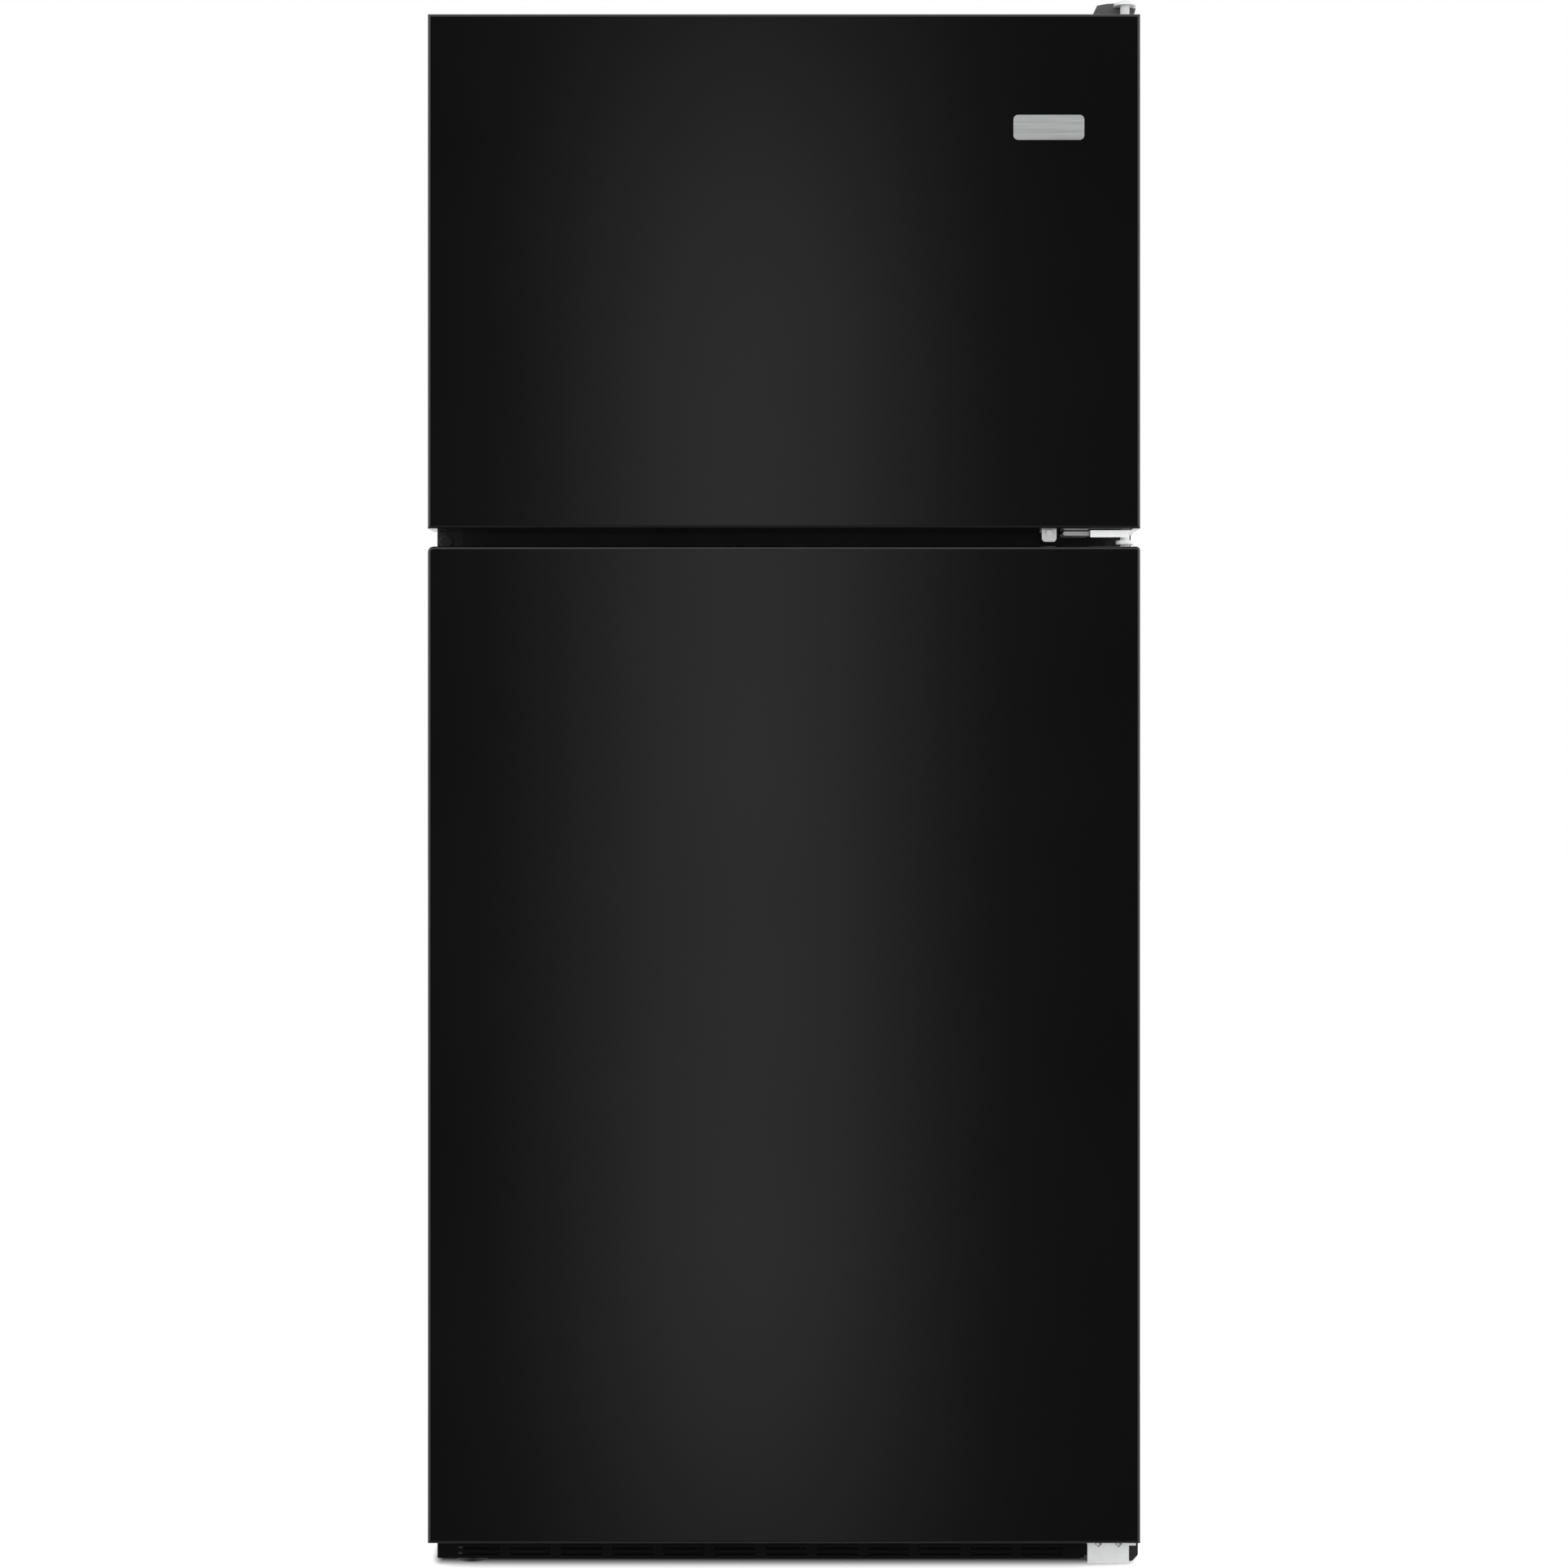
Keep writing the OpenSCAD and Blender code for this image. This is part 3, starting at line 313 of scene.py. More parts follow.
# Width of the rounding on each node's edges, in metres
ROUND = {
    "top_hinge": 0.0005, "top_hinge_cover": 0.0012, "center_hinge": 0.0005, "bottom_hinge": 0.0006,
    "bottom_hinge_side_cover": 0.0008, "hex_screws": 0.0003, "badge": 0.0005, "freezer_door_stop": 0.0006,
    "base_grille": 0.0006, "cabinet_shell": 0.0004, "back_panel": 0.0004,
    "compressor": 0.003, "drain_pan": 0.0006, "evaporator_cover": 0.0005,
    "shelf_glass": 0.0008, "crisper_cover_frame": 0.001, "control_housing": 0.002, "light_lens": 0.001,
    "left_crisper": 0.001, "right_crisper": 0.001, "left_humidity_slider": 0.0006,
    "right_humidity_slider": 0.0006, "temperature_dial": 0.0012, "light_switch_plunger": 0.0008,
    "freezer_handle_pocket": 0.0008, "fridge_handle_pocket": 0.0008, "dairy_box": 0.001, "dairy_lid": 0.0008,
    "left_leveling_leg": 0.001, "right_leveling_leg": 0.001, "left_roller": 0.001, "right_roller": 0.001,
    "hinge_hole_plugs": 0.0006, "roller_brackets": 0.0004, "base_frame": 0.0005, "cord_grommet": 0.0006,
}

# Nodes with holes through flat faces keep their triangles, because a merged face with a hole shades badly
PIERCED = {
    "back_panel", "base_grille", "control_housing", "crisper_cover_frame", "drain_pan", "evaporator_cover",
    "freezer_door_stop", "left_crisper", "left_leveling_leg", "right_crisper", "right_leveling_leg",
}


def soften(obj, width):
    """Rounds an object's edges as moulding and pressing do."""
    weld = obj.modifiers.new("weld", "WELD")
    weld.merge_threshold = 0.00001
    if obj.name not in PIERCED:
        flat = obj.modifiers.new("flat", "DECIMATE")
        flat.decimate_type = "DISSOLVE"
        flat.angle_limit = math.radians(0.5)
    bevel = obj.modifiers.new("bevel", "BEVEL")
    bevel.width = width
    bevel.segments = 2
    bevel.limit_method = "ANGLE"
    bevel.angle_limit = math.radians(35.0)
    bevel.miter_outer = "MITER_ARC"
    even = obj.modifiers.new("even", "WEIGHTED_NORMAL")
    even.keep_sharp = True


for name, obj in NODES.items():
    obj.data.materials.clear()
    obj.data.materials.append(M[FINISH[name]])
    if name in ROUND:
        if obj.data.attributes.get("custom_normal"):
            obj.data.attributes.remove(obj.data.attributes["custom_normal"])
        for p in obj.data.polygons:
            p.use_smooth = True
        soften(obj, ROUND[name])


# ---------------------------------------------------------------- shapes in mesh code, in millimetres

def span(node, axis, grow=0.0):
    """Both ends of a CAD node along an axis, each moved outwards by grow."""
    ends = [1000.0 * v.co[axis] for v in NODES[node].data.vertices]
    return round(min(ends) - grow, 2), round(max(ends) + grow, 2)


def rounded_path(a, b, radii, steps=6):
    """Points and outward directions round a rectangle, anticlockwise from the lower left corner.
    A radius of 0 gives a mitred corner of one point."""
    corners = ((a[0], b[0], 1, 1), (a[1], b[0], -1, 1), (a[1], b[1], -1, -1), (a[0], b[1], 1, -1))
    path = []
    for k, ((ca, cb, sa, sb), r) in enumerate(zip(corners, radii)):
        if r == 0:
            path.append((ca, cb, -sa, -sb))
            continue
        for i in range(steps + 1):
            t = math.radians(180 + 90 * k + 90 * i / steps)
            na, nb = math.cos(t), math.sin(t)
            path.append((ca + sa * r + r * na, cb + sb * r + r * nb, na, nb))
    return path


def upright(bm, path, inset, y):
    """A loop of points in the XZ plane at y, drawn in by inset (one number, or one for X and one for Z)."""
    dx, dz = inset if isinstance(inset, tuple) else (inset, inset)
    return [bm.verts.new((p[0] - p[2] * dx, y, p[1] - p[3] * dz)) for p in path]


def level(bm, path, inset, z):
    """A loop of points in the XY plane at z, drawn in by inset."""
    return [bm.verts.new((p[0] - p[2] * inset, p[1] - p[3] * inset, z)) for p in path]


def skin_loops(bm, loops, skip=()):
    """Faces between loops that follow each other. skip holds (loop, segment) pairs that stay open."""
    for k, (a, b) in enumerate(zip(loops, loops[1:])):
        for i in range(len(a)):
            if (k, i) not in skip:
                j = (i + 1) % len(a)
                bm.faces.new((a[i], a[j], b[j], b[i]))


def sharp_mitres(bm, loops, path):
    """Creases along the mitred corners of a path."""
    for i, p in enumerate(path):
        if abs(p[2]) + abs(p[3]) > 1.5:
            for a, b in zip(loops, loops[1:]):
                e = bm.edges.get((a[i], b[i]))
                if e:
                    e.smooth = False


def bar(bm, x, y, z, r):
    """A box with round edges of radius r."""
    made = bmesh.ops.create_cube(bm, size=1.0)["verts"]
    for v in made:
        v.co = Vector([c[0] + (c[1] - c[0]) * (t + 0.5) for c, t in zip((x, y, z), v.co)])
    edges = list({e for v in made for e in v.link_edges})
    bmesh.ops.bevel(bm, geom=edges, offset=r, segments=2, profile=0.5, affect="EDGES")


def piece(name, bm, material, body, replaced, crease=40.0, outward=True):
    """An object from a bmesh in millimetres, on its body, in place of the CAD nodes that it stands for.
    Edges that turn by more than crease degrees stay sharp."""
    bmesh.ops.scale(bm, vec=(0.001, 0.001, 0.001), verts=bm.verts)
    if outward:
        bmesh.ops.recalc_face_normals(bm, faces=bm.faces)
    for f in bm.faces:
        f.smooth = True
    for e in bm.edges:
        if len(e.link_faces) == 2 and e.calc_face_angle(0.0) > math.radians(crease):
            e.smooth = False
    me = bpy.data.meshes.new(name)
    bm.to_mesh(me)
    bm.free()
    o = bpy.data.objects.new(name, me)
    scene.collection.objects.link(o)
    me.materials.append(M[material])
    even = o.modifiers.new("even", "WEIGHTED_NORMAL")
    even.keep_sharp = True
    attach(o, body)
    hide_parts(*replaced)
    return o


# Both doors: half their width, their front and back planes, and the radius of the rolled front edge
DOOR_HALF = span("fridge_door_caps", X)[1]
DOOR_FRONT = span("fridge_door_caps", Y)[0]
DOOR_BACK, GASKET_FACE = span("fridge_door_gasket", Y)
EDGE_R = 3.8

# The handle pocket's wall, the room round it in the foam, and the opening of the grip from front to back
POCKET_WALL, POCKET_ROOM = 2.0, 0.2
GRIP_Y = span("fridge_handle_pocket", Y, -POCKET_WALL)

# The raised ring on the inner panel: its sides, its width, its height and the radius of its corners
DYKE_X, DYKE_W, DYKE_H, DYKE_R = (-314.0, 308.0), 22.0, 35.0, 30.0

BIN_X, BIN_Y = span("fridge_door_bins", X), span("fridge_door_bins", Y)


def door_sizes(door, dyke, bins, lugs, corners):
    """Heights on one door, with those of its slab, grip and gasket from the frame. dyke has the raised
    ring's ends, bins each bin's bottom and height, lugs the heights that the lugs carry, and corners
    the radii of the painted skin, anticlockwise from the lower left."""
    return dict(z=span(door + "_door_caps", Z), grip=span(door + "_handle_pocket", Z, -POCKET_WALL),
                gasket=span(door + "_door_gasket", Z), dyke=dyke, bins=bins, lugs=lugs, corners=corners)


DOORS = {
    "freezer": door_sizes("freezer", (1162.0, 1613.0), bins=((1186.0, 80.0), (1396.0, 80.0)),
                          lugs=(1186.0, 1396.0), corners=(0, 0, 0, 0)),
    "fridge": door_sizes("fridge", (139.0, 1058.0), bins=((165.0, 115.0), (420.0, 85.0), (675.0, 85.0)),
                         lugs=(165.0, 420.0, 675.0, 930.0), corners=(0, 0, 4.4, 6.0)),
}


def door_skin(door, d):
    """The painted shell of a door: flat front, rolled edges all round, and the opening of the side grip."""
    bm = bmesh.new()
    path = rounded_path((-DOOR_HALF, DOOR_HALF), d["z"], d["corners"])
    path += [(-DOOR_HALF, d["grip"][1], -1, 0), (-DOOR_HALF, d["grip"][0], -1, 0)]
    turns = [math.radians(90 * k / 10) for k in range(11)]
    loops = [upright(bm, path, EDGE_R * (1 - math.sin(t)), DOOR_FRONT + EDGE_R * (1 - math.cos(t)))
             for t in turns]
    grip_front = len(loops)
    for y in (*GRIP_Y, DOOR_BACK - 0.6):
        loops.append(upright(bm, path, 0.0, y))
    # The back edge: a small round, a face as far as the inner panel, and a return into the door
    loops.append(upright(bm, path, 0.4, DOOR_BACK - 0.2))
    loops.append(upright(bm, path, (1.3, 4.9), DOOR_BACK - 0.2))
    loops.append(upright(bm, path, (1.3, 4.9), DOOR_BACK - 8.0))
    bm.faces.new(loops[0])
    skin_loops(bm, loops, skip={(grip_front, len(path) - 2)})
    sharp_mitres(bm, loops, path)
    return piece(door + "_door_skin", bm, "door", door + "_door",
                 (door + "_door_panel", door + "_door_caps"), crease=50.0)


def door_inner(door, d):
    """The white inner panel of a door, with its raised ring and the lugs under the bins."""
    bm = bmesh.new()
    liner = door + "_door_liner"
    edge = rounded_path(span(liner, X), span(liner, Z), (3, 3, 3, 3))
    ring = rounded_path(DYKE_X, d["dyke"], (DYKE_R,) * 4)
    loops = [upright(bm, edge, 0.0, DOOR_BACK - 2.0), upright(bm, edge, 0.0, DOOR_BACK - 0.4),
             upright(bm, edge, 0.5, DOOR_BACK)]
    # The ring's section from its outside inwards, as an inset and a rise from the door's back
    outline = ((-2.0, 0.0), (-0.6, 0.4), (0.0, 1.8), (1.3, 29.0), (2.2, 32.6), (4.6, 34.6),
               (7.5, DYKE_H), (14.5, DYKE_H), (17.4, 34.6), (19.8, 32.6), (20.7, 29.0), (22.0, 1.8),
               (22.6, 0.4), (24.0, 0.0))
    loops += [upright(bm, ring, inset, DOOR_BACK + rise) for inset, rise in outline]
    skin_loops(bm, loops)
    bm.faces.new(loops[-1])
    for z in d["lugs"]:
        low = max(z - 8.0, d["dyke"][0] + DYKE_W - 0.5)
        for x in ((BIN_X[0] - 3.0, BIN_X[0] + 7.0), (BIN_X[1] - 7.0, BIN_X[1] + 3.0)):
            bar(bm, x, (DOOR_BACK - 0.5, DOOR_BACK + DYKE_H - 3.0), (low, z - 0.2), 1.2)
    return piece(door + "_door_inner_panel", bm, "white", door + "_door", (liner,))


def door_core(door, d):
    """The foam inside a door and inside the ring of its inner panel, cut out round the side grip."""
    bm = bmesh.new()
    block, pocket = door + "_door_foam", door + "_handle_pocket"
    left, right = span(block, X)
    low, high = span(pocket, Z, POCKET_ROOM)
    front, back = span(pocket, Y, POCKET_ROOM)
    path = rounded_path((left, right), span(block, Z), (0, 0, 0, 0))
    path += [(left, high, -1, 0), (left, low, -1, 0)]
    outline = ((2.6, DOOR_FRONT + 1.2), (0.8, DOOR_FRONT + 2.0), (0.0, DOOR_FRONT + 3.8),
               (0.0, front), (0.0, back), (0.0, DOOR_BACK - 2.2))
    loops = [upright(bm, path, inset, y) for inset, y in outline]
    bm.faces.new(loops[0])
    bm.faces.new(loops[-1])
    skin_loops(bm, loops, skip={(3, len(path) - 2)})
    mouth = [loops[3][-2], loops[3][-1], loops[4][-1], loops[4][-2]]
    depth = span(pocket, X, POCKET_ROOM)[1]
    deep = [bm.verts.new((depth, v.co.y, v.co.z)) for v in mouth]
    skin_loops(bm, [mouth, deep])
    bm.faces.new(deep)
    ring = rounded_path(DYKE_X, d["dyke"], (DYKE_R,) * 4)
    outline = ((2.7, -2.6), (4.0, 29.0), (5.0, 31.6), (7.5, 32.3), (14.5, 32.3), (17.0, 31.6), (18.0, 29.0),
               (19.3, -2.6))
    loops = [upright(bm, ring, inset, DOOR_BACK + rise) for inset, rise in outline]
    loops.append(loops[0])
    skin_loops(bm, loops)
    return piece(door + "_door_core", bm, "foam", door + "_door", (block,))


def door_seal(door, d):
    """Magnetic gasket, mitred at its corners: a root in the door, a folded bellows and the magnet strip."""
    bm = bmesh.new()
    gasket = door + "_door_gasket"
    path = rounded_path(span(gasket, X), d["gasket"], (0, 0, 0, 0))
    depth = GASKET_FACE - DOOR_BACK
    outline = ((4.0, 0.0), (12.0, 0.0), (12.6, 1.4), (11.2, 2.6), (9.9, 3.9), (11.3, 5.1), (14.3, 5.9),
               (15.6, 7.2), (15.9, 9.6), (15.3, 12.3), (14.2, depth), (8.6, 12.7), (7.4, 12.7),
               (1.8, depth), (0.7, 12.3), (0.1, 9.6), (0.4, 7.2), (1.7, 5.9), (4.7, 5.1), (6.1, 3.9),
               (4.8, 2.6), (3.4, 1.4))
    loops = [upright(bm, path, inset, DOOR_BACK + rise) for inset, rise in outline]
    loops.append(loops[0])
    skin_loops(bm, loops)
    sharp_mitres(bm, loops, path)
    return piece(door + "_door_seal", bm, "vinyl", door + "_door", (gasket,), crease=60.0)


def bin_tray(bm, x, y, z, wall=2.5, corner=15.0, draft=3.0):
    """A moulded tray with drafted walls, round corners and a rolled rim."""
    path = rounded_path(x, y, (corner,) * 4)
    low, high = z
    outside = ((draft + 6.0, low), (draft + 2.0, low + 0.8), (draft + 0.4, low + 3.0), (draft, low + 7.0),
               (1.1, high - 8.0), (0.2, high - 7.2), (0.0, high - 6.0), (0.0, high - 1.2), (0.5, high - 0.3),
               (1.2, high), (wall, high), (wall + 0.7, high - 0.4), (wall + 1.0, high - 1.4))
    inside = ((wall + draft, low + 8.0), (wall + draft + 0.6, low + wall + 2.6),
              (wall + draft + 2.6, low + wall + 0.7), (wall + draft + 6.0, low + wall))
    loops = [level(bm, path, inset, h) for inset, h in outside + inside]
    skin_loops(bm, loops)
    bm.faces.new(loops[0])
    bm.faces.new(loops[-1])


def door_bins(door, d):
    """All the clear bins on one door."""
    bm = bmesh.new()
    for z, height in d["bins"]:
        bin_tray(bm, BIN_X, BIN_Y, (z, z + height))
    return piece(door + "_door_clear_bins", bm, "clear", door + "_door", (door + "_door_bins",))


# The two glass shelves' frames: their width and height, their outline, and where each one's underside is
RIM_W, RIM_H = 12.0, 15.0
SHELF_X, SHELF_Y, (LOWER_SHELF, SHELVES_TOP) = (span("shelf_frames", axis) for axis in (X, Y, Z))
SHELVES = (LOWER_SHELF, SHELVES_TOP - RIM_H)


def shelf_rims():
    """Moulded frames round the two glass shelves, with a step that the glass lies in."""
    bm = bmesh.new()
    path = rounded_path(SHELF_X, SHELF_Y, (9.0,) * 4)
    outline = ((1.6, 0.0), (0.4, 0.6), (0.0, 2.0), (0.0, 12.6), (0.7, 14.3), (2.4, RIM_H), (10.4, RIM_H),
               (11.6, 14.6), (RIM_W, 13.6), (RIM_W, 9.0), (17.6, 9.0), (18.0, 8.4), (18.0, 0.6), (17.4, 0.0))
    seat_x, seat_y = span("shelf_frames", X, -RIM_W), span("shelf_frames", Y, -RIM_W)
    inner = rounded_path(seat_x, seat_y, (1.5,) * 4)
    for z in SHELVES:
        loops = [level(bm, path, inset, z + h) for inset, h in outline[:9]]
        loops += [level(bm, inner, inset - RIM_W, z + h) for inset, h in outline[9:]]
        loops.append(loops[0])
        skin_loops(bm, loops)
    return piece("shelf_rims", bm, "pale_grey", "cabinet", ("shelf_frames",))


# The liners' wall, half the width inside them and over the flange round them, and the flange's front
LINER_T, INNER = 2.0, 331.0
FLANGE, FRONT = span("fridge_liner", X)[1], span("fridge_liner", Y)[0]


def corner_arc(centre, r, start, end, steps, side):
    """Points of a rounded corner of a side outline, each with its direction into the compartment."""
    out = []
    for i in range(steps + 1):
        t = math.radians(start + (end - start) * i / steps)
        c, q = math.cos(t), math.sin(t)
        out.append((centre[0] + r * c, centre[1] + r * q, side * c, side * q))
    return out


# The radii between a compartment's sides and the rest, and of its rolled front edge
SIDE_R, LIP_R = 12.0, 3.0


def compartment(name, node, outline, floor, ceiling, ledges):
    """The inside of a thermoformed liner, with round corners, a rolled front edge and a flange round it.
    outline has the side view's points at the back, from the floor to the ceiling, and ledges the height
    and the ends along Y of each pair of ledges on the sides."""
    bm = bmesh.new()
    r, lip, steps = SIDE_R, LIP_R, 6
    flange_z = span(node, Z)
    start = FRONT + lip
    outline = [(start, floor, 0, 1), *outline, (start, ceiling, 0, -1)]
    stations = []
    for k in range(steps + 1):
        t = math.radians(90 * (1 - k / steps))
        stations.append((-(INNER - r) - r * math.sin(t), r * (1 - math.cos(t)), t))
    stations += [(-x, inset, t) for x, inset, t in reversed(stations)]
    grid = [[bm.verts.new((x, p[0] + p[2] * inset, p[1] + p[3] * inset)) for p in outline]
            for x, inset, t in stations]
    for a, b in zip(grid, grid[1:]):
        for i in range(len(a) - 1):
            bm.faces.new((a[i], b[i], b[i + 1], a[i + 1]))
    bm.faces.new(grid[0])
    bm.faces.new(list(reversed(grid[-1])))
    rim = [(column[0], math.copysign(math.sin(t), x), -math.cos(t))
           for column, (x, _, t) in zip(grid, stations)]
    rim += [(column[-1], math.copysign(math.sin(t), x), math.cos(t))
            for column, (x, _, t) in reversed(list(zip(grid, stations)))]
    loops = [[v for v, _, _ in rim]]
    for k in range(1, 5):
        t = math.radians(90 * k / 4)
        out, y = lip * (1 - math.cos(t)), FRONT + lip * (1 - math.sin(t))
        loops.append([bm.verts.new((v.co.x + nx * out, y, v.co.z + nz * out)) for v, nx, nz in rim])
    edge = []
    for v in loops[-1]:
        x, z = v.co.x, v.co.z
        nx, nz = (1 if x > 0 else -1), (1 if z > (floor + ceiling) / 2 else -1)
        in_side = abs(x) > INNER - r * 0.3
        edge.append(bm.verts.new((nx * FLANGE if in_side else x * FLANGE / INNER, FRONT,
                                  z if in_side and floor + r < z < ceiling - r else flange_z[nz > 0])))
    loops.append(edge)
    loops.append([bm.verts.new((v.co.x, FRONT + LINER_T, v.co.z)) for v in edge])
    skin_loops(bm, loops)
    for z, y in ledges:
        for s in (-1, 1):
            bar(bm, tuple(sorted((s * (INNER - 10.2), s * (INNER + 0.5)))), y, (z - 6.2, z - 0.2), 1.6)
    return piece(name, bm, "white", "cabinet", (node,), outward=False)


# Each compartment's floor and ceiling, its back, and the radius of their corners
FREEZER_Z, FREEZER_BACK = (1152.0, 1623.0), span("freezer_liner", Y)[1] - LINER_T
FRIDGE_Z, FRIDGE_BACK = (125.0, 1066.0), span("fridge_liner", Y)[1] - LINER_T
CORNER_R = 16.0

# The step over the machine space: its upright face, its top and the radius of its two bends, the height of
# the lower bend's centre, the depth of the upper one's, and the direction in degrees where they meet
STEP_FACE, STEP_TOP, STEP_R = 133.0, 335.0, 14.0
SLOPE_FOOT, SLOPE_HEAD, SLOPE_TURN = 284.2, 180.5, 137

# The ledges under the wire shelf, the glass shelves and the crisper cover: heights, and ends along Y
WIRE_SHELF, WIRE_SHELF_LEDGE = 1390.0, (-225.0, 245.0)
GLASS_SHELF_LEDGE = (-180.0, 290.0)
COVER, COVER_FRONT_LEDGE, COVER_BACK_LEDGE = 345.0, (-180.0, -166.0), (120.0, 325.0)


def room_corners(z, back):
    """The lower and upper corners at the back of a compartment."""
    deep = back - CORNER_R
    return (corner_arc((deep, z[0] + CORNER_R), CORNER_R, -90, 0, 6, -1),
            corner_arc((deep, z[1] - CORNER_R), CORNER_R, 0, 90, 6, -1))


def over_machine_space():
    """The side outline of the fridge compartment's floor where it climbs over the machine space."""
    low, _ = room_corners(FRIDGE_Z, STEP_FACE)
    upper, _ = room_corners((STEP_TOP, FRIDGE_Z[1]), FRIDGE_BACK)
    return (low + corner_arc((STEP_FACE + STEP_R, SLOPE_FOOT), STEP_R, 180, SLOPE_TURN, 4, 1)
            + corner_arc((SLOPE_HEAD, STEP_TOP - STEP_R), STEP_R, SLOPE_TURN, 90, 4, 1) + upper)


for door, d in DOORS.items():
    door_skin(door, d)
    door_inner(door, d)
    door_core(door, d)
    door_seal(door, d)
    door_bins(door, d)
shelf_rims()
low_corner, high_corner = room_corners(FREEZER_Z, FREEZER_BACK)
compartment("freezer_compartment", "freezer_liner", low_corner + high_corner, *FREEZER_Z,
            ledges=((WIRE_SHELF, WIRE_SHELF_LEDGE),))
_, high_corner = room_corners(FRIDGE_Z, FRIDGE_BACK)
compartment("fridge_compartment", "fridge_liner", over_machine_space() + high_corner, *FRIDGE_Z,
            ledges=(*((z, GLASS_SHELF_LEDGE) for z in SHELVES), (COVER, COVER_FRONT_LEDGE),
                    (COVER, COVER_BACK_LEDGE)))


# ---------------------------------------------------------------- stage, light and camera

# Half the floor's size, in metres as is everything below
FLOOR_HALF = 14.0

# Where the painted contact shadow under the base fades out, and where the painted pool of light on the floor
# in front of it is brightest
SHADOW_X, SHADOW_FRONT, SHADOW_BACK = (0.371, 0.389), (-0.338, -0.292), (0.30, 0.38)
STRIP_X, STRIP_FRONT, STRIP_BACK = (0.42, 0.50), (-0.47, -0.41), (-0.33, -0.27)
FLOOR_GLOW, STRIP_GLOW = 0.5, 0.40


def add_floor():
    """The pale floor, with a soft glow of its own, a painted pool of light in front of the base and a
    painted contact shadow under the base: near-black colour and no glow there.
    """
    bm = bmesh.new()
    for sx, sy in ((-1, -1), (1, -1), (1, 1), (-1, 1)):
        bm.verts.new((sx * FLOOR_HALF, sy * FLOOR_HALF, 0.0))
    bm.faces.new(bm.verts)
    me = bpy.data.meshes.new("floor")
    bm.to_mesh(me)
    bm.free()
    o = bpy.data.objects.new("floor", me)
    scene.collection.objects.link(o)
    m = Build("pale_floor")
    t = m.tree
    xyz = m.node("ShaderNodeSeparateXYZ")
    m.link(m.coord.outputs["Object"], xyz.inputs[0])
    beside, y = maths(t, "ABSOLUTE", xyz.outputs["X"]), xyz.outputs["Y"]
    # under is the painted contact shadow: 1 under the base, fading to 0 at its edges
    under = product(t, ease(t, beside, *SHADOW_X, 1.0, 0.0), ease(t, y, *SHADOW_FRONT),
                    ease(t, y, *SHADOW_BACK, 1.0, 0.0))
    # The colour: faint random tone, with the painted contact shadow taking it down to near black under the
    # base
    tone = maths(t, "SUBTRACT", m.remap(m.noise(1.5, 2.0), 0.97, 1.0), under)
    m.colours(tone, grey(0.01), grey(0.935), 0.0, 1.0)
    m.roughness(m.noise(2.0, 2.0), 0.8, 0.9)
    m.bsdf.inputs["Emission Color"].default_value = (1.0, 1.0, 1.0, 1.0)
    # strip is a painted pool of light: extra glow on the floor in front of the base and under the doors,
    # where their overhang shades it
    strip = product(t, ease(t, y, *STRIP_FRONT), ease(t, beside, *STRIP_X, 1.0, 0.0),
                    ease(t, y, *STRIP_BACK, STRIP_GLOW, 0.0))
    # The glow: even over the floor, raised by the painted pool of light, and cut out by the painted contact
    # shadow
    glow = product(t, maths(t, "SUBTRACT", 1.0, under), maths(t, "ADD", FLOOR_GLOW, strip))
    m.link(glow, m.bsdf.inputs["Emission Strength"])
    o.data.materials.append(m.mat)
    o.visible_glossy = False


add_floor()

# The soft light: its middle and half width to the side, where it fades at its top and foot, and its strength
LIGHT_U, LIGHT_HALF_WIDTH = -0.0128, 0.101
LIGHT_TOP, LIGHT_FOOT = (0.12, 0.366), (-0.41, -0.175)
LIGHT_STRENGTH, ROOM_STRENGTH = 0.59, 0.021


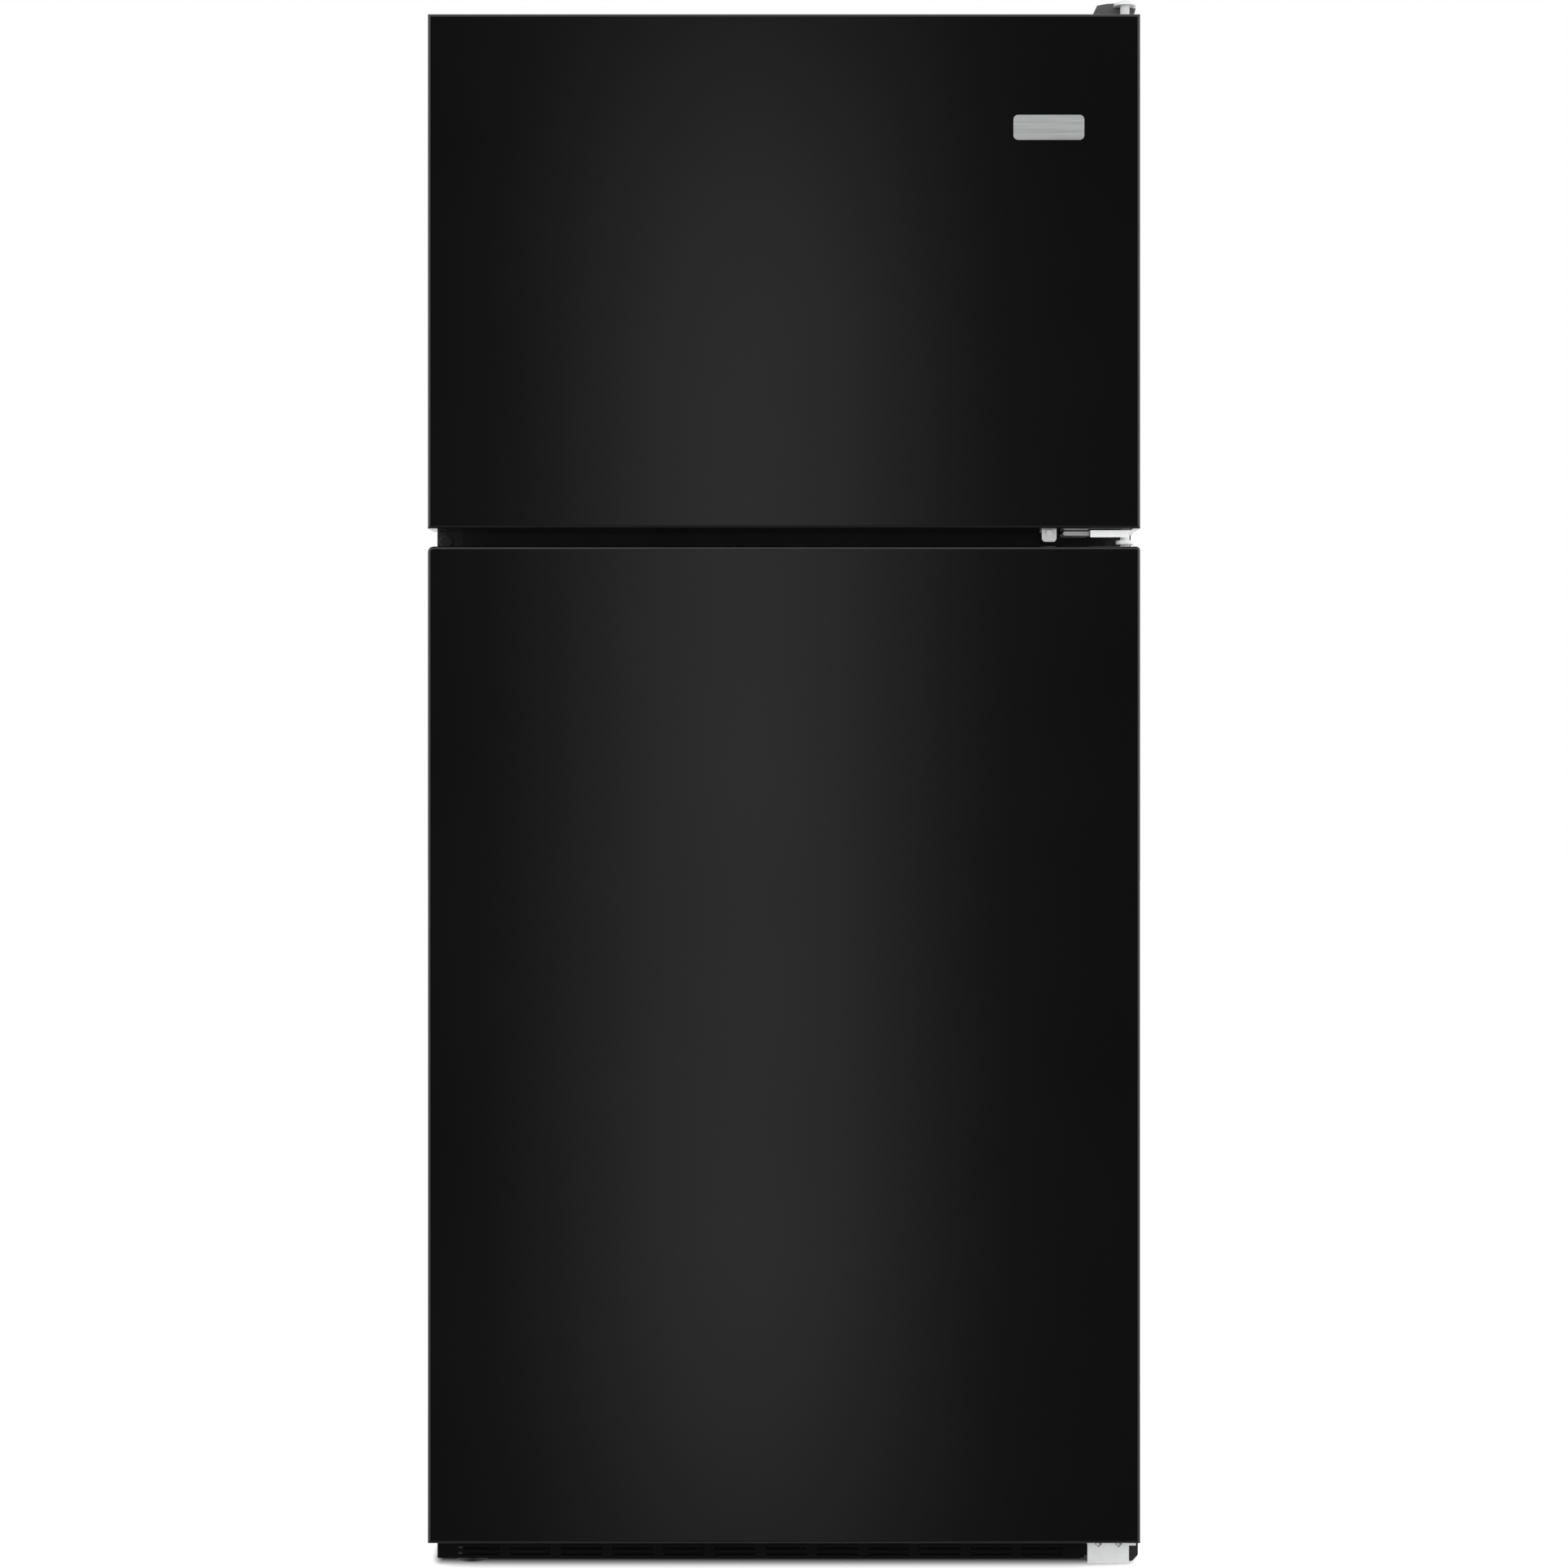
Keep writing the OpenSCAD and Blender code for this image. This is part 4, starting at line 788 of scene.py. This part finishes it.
def studio():
    """White surroundings behind the object, a dim room in front of it, and one tall soft light there."""
    world = bpy.data.worlds.new("studio")
    scene.world = world
    world.use_nodes = True
    t = world.node_tree
    t.nodes.clear()
    add = t.nodes.new
    out = add("ShaderNodeOutputWorld")
    coord = add("ShaderNodeTexCoord")
    xyz = add("ShaderNodeSeparateXYZ")
    t.links.new(coord.outputs["Generated"], xyz.inputs[0])
    x, y, z = xyz.outputs

    # The soft light, by its direction: u to the side and v upwards, as slopes from straight ahead
    ahead = maths(t, "MAXIMUM", maths(t, "MULTIPLY", y, -1.0), 0.001)
    u = maths(t, "ABSOLUTE", maths(t, "SUBTRACT", maths(t, "DIVIDE", x, ahead), LIGHT_U))
    v = maths(t, "DIVIDE", z, ahead)
    light = product(t, ease(t, u, 0.0, LIGHT_HALF_WIDTH, 1.0, 0.0), ease(t, v, *LIGHT_TOP, 1.0, 0.0),
                    ease(t, v, *LIGHT_FOOT), ease(t, y, -0.5, -0.3, 1.0, 0.0), LIGHT_STRENGTH)

    # The white surroundings, brightest beside the object and dimmer below and overhead
    around = product(t, ease(t, y, -0.94, -0.78), ease(t, y, 0.0, 0.6, 1.55, 1.0),
                     ease(t, z, -0.6, 0.0, 0.15, 1.0), ease(t, z, 0.2, 0.8, 1.0, 0.75))
    glossy = maths(t, "ADD", maths(t, "ADD", light, around), ROOM_STRENGTH)
    diffuse = maths(t, "ADD", ease(t, y, -0.9, 0.3, 1.22, 0.95), maths(t, "MULTIPLY", x, -0.06))
    path = add("ShaderNodeLightPath")

    def choose(factor, a, b):
        n = add("ShaderNodeMix")
        n.data_type = "FLOAT"
        t.links.new(factor, n.inputs["Factor"])
        t.links.new(a, n.inputs["A"])
        if isinstance(b, float):
            n.inputs["B"].default_value = b
        else:
            t.links.new(b, n.inputs["B"])
        return n.outputs["Result"]

    strength = choose(path.outputs["Is Diffuse Ray"], glossy, diffuse)
    strength = choose(path.outputs["Is Camera Ray"], strength, 1.0)
    bg = add("ShaderNodeBackground")
    bg.inputs["Color"].default_value = (1.0, 1.0, 1.0, 1.0)
    t.links.new(strength, bg.inputs["Strength"])
    t.links.new(bg.outputs[0], out.inputs["Surface"])
    if hasattr(world, "cycles"):
        world.cycles.sampling_method = "NONE"


studio()
scene.view_settings.view_transform = "Standard"
scene.view_settings.look = "None"
scene.view_settings.exposure = 0.0
scene.view_settings.gamma = 1.0

# The camera stands level, at EYE_Z, and its shift brings AIM_Z on the doors' fronts to the picture's middle
BADGE_T = 0.0015
FRONT_Y = CAD_BOX[0][1] + BADGE_T
DISTANCE, EYE_Z, AIM_Z = 2.999, 0.90, 0.8476
cam_data = bpy.data.cameras.new("camera")
cam_data.sensor_width = 36.0
cam_data.lens = 65.0
view_width = DISTANCE * cam_data.sensor_width / cam_data.lens
cam_data.shift_y = (AIM_Z - EYE_Z) / view_width
cam = bpy.data.objects.new("camera", cam_data)
scene.collection.objects.link(cam)
cam.location = (0.0, FRONT_Y - DISTANCE, EYE_Z)
cam.rotation_euler = (math.radians(90.0), 0.0, 0.0)
cam_data.clip_end = 60.0
scene.camera = cam
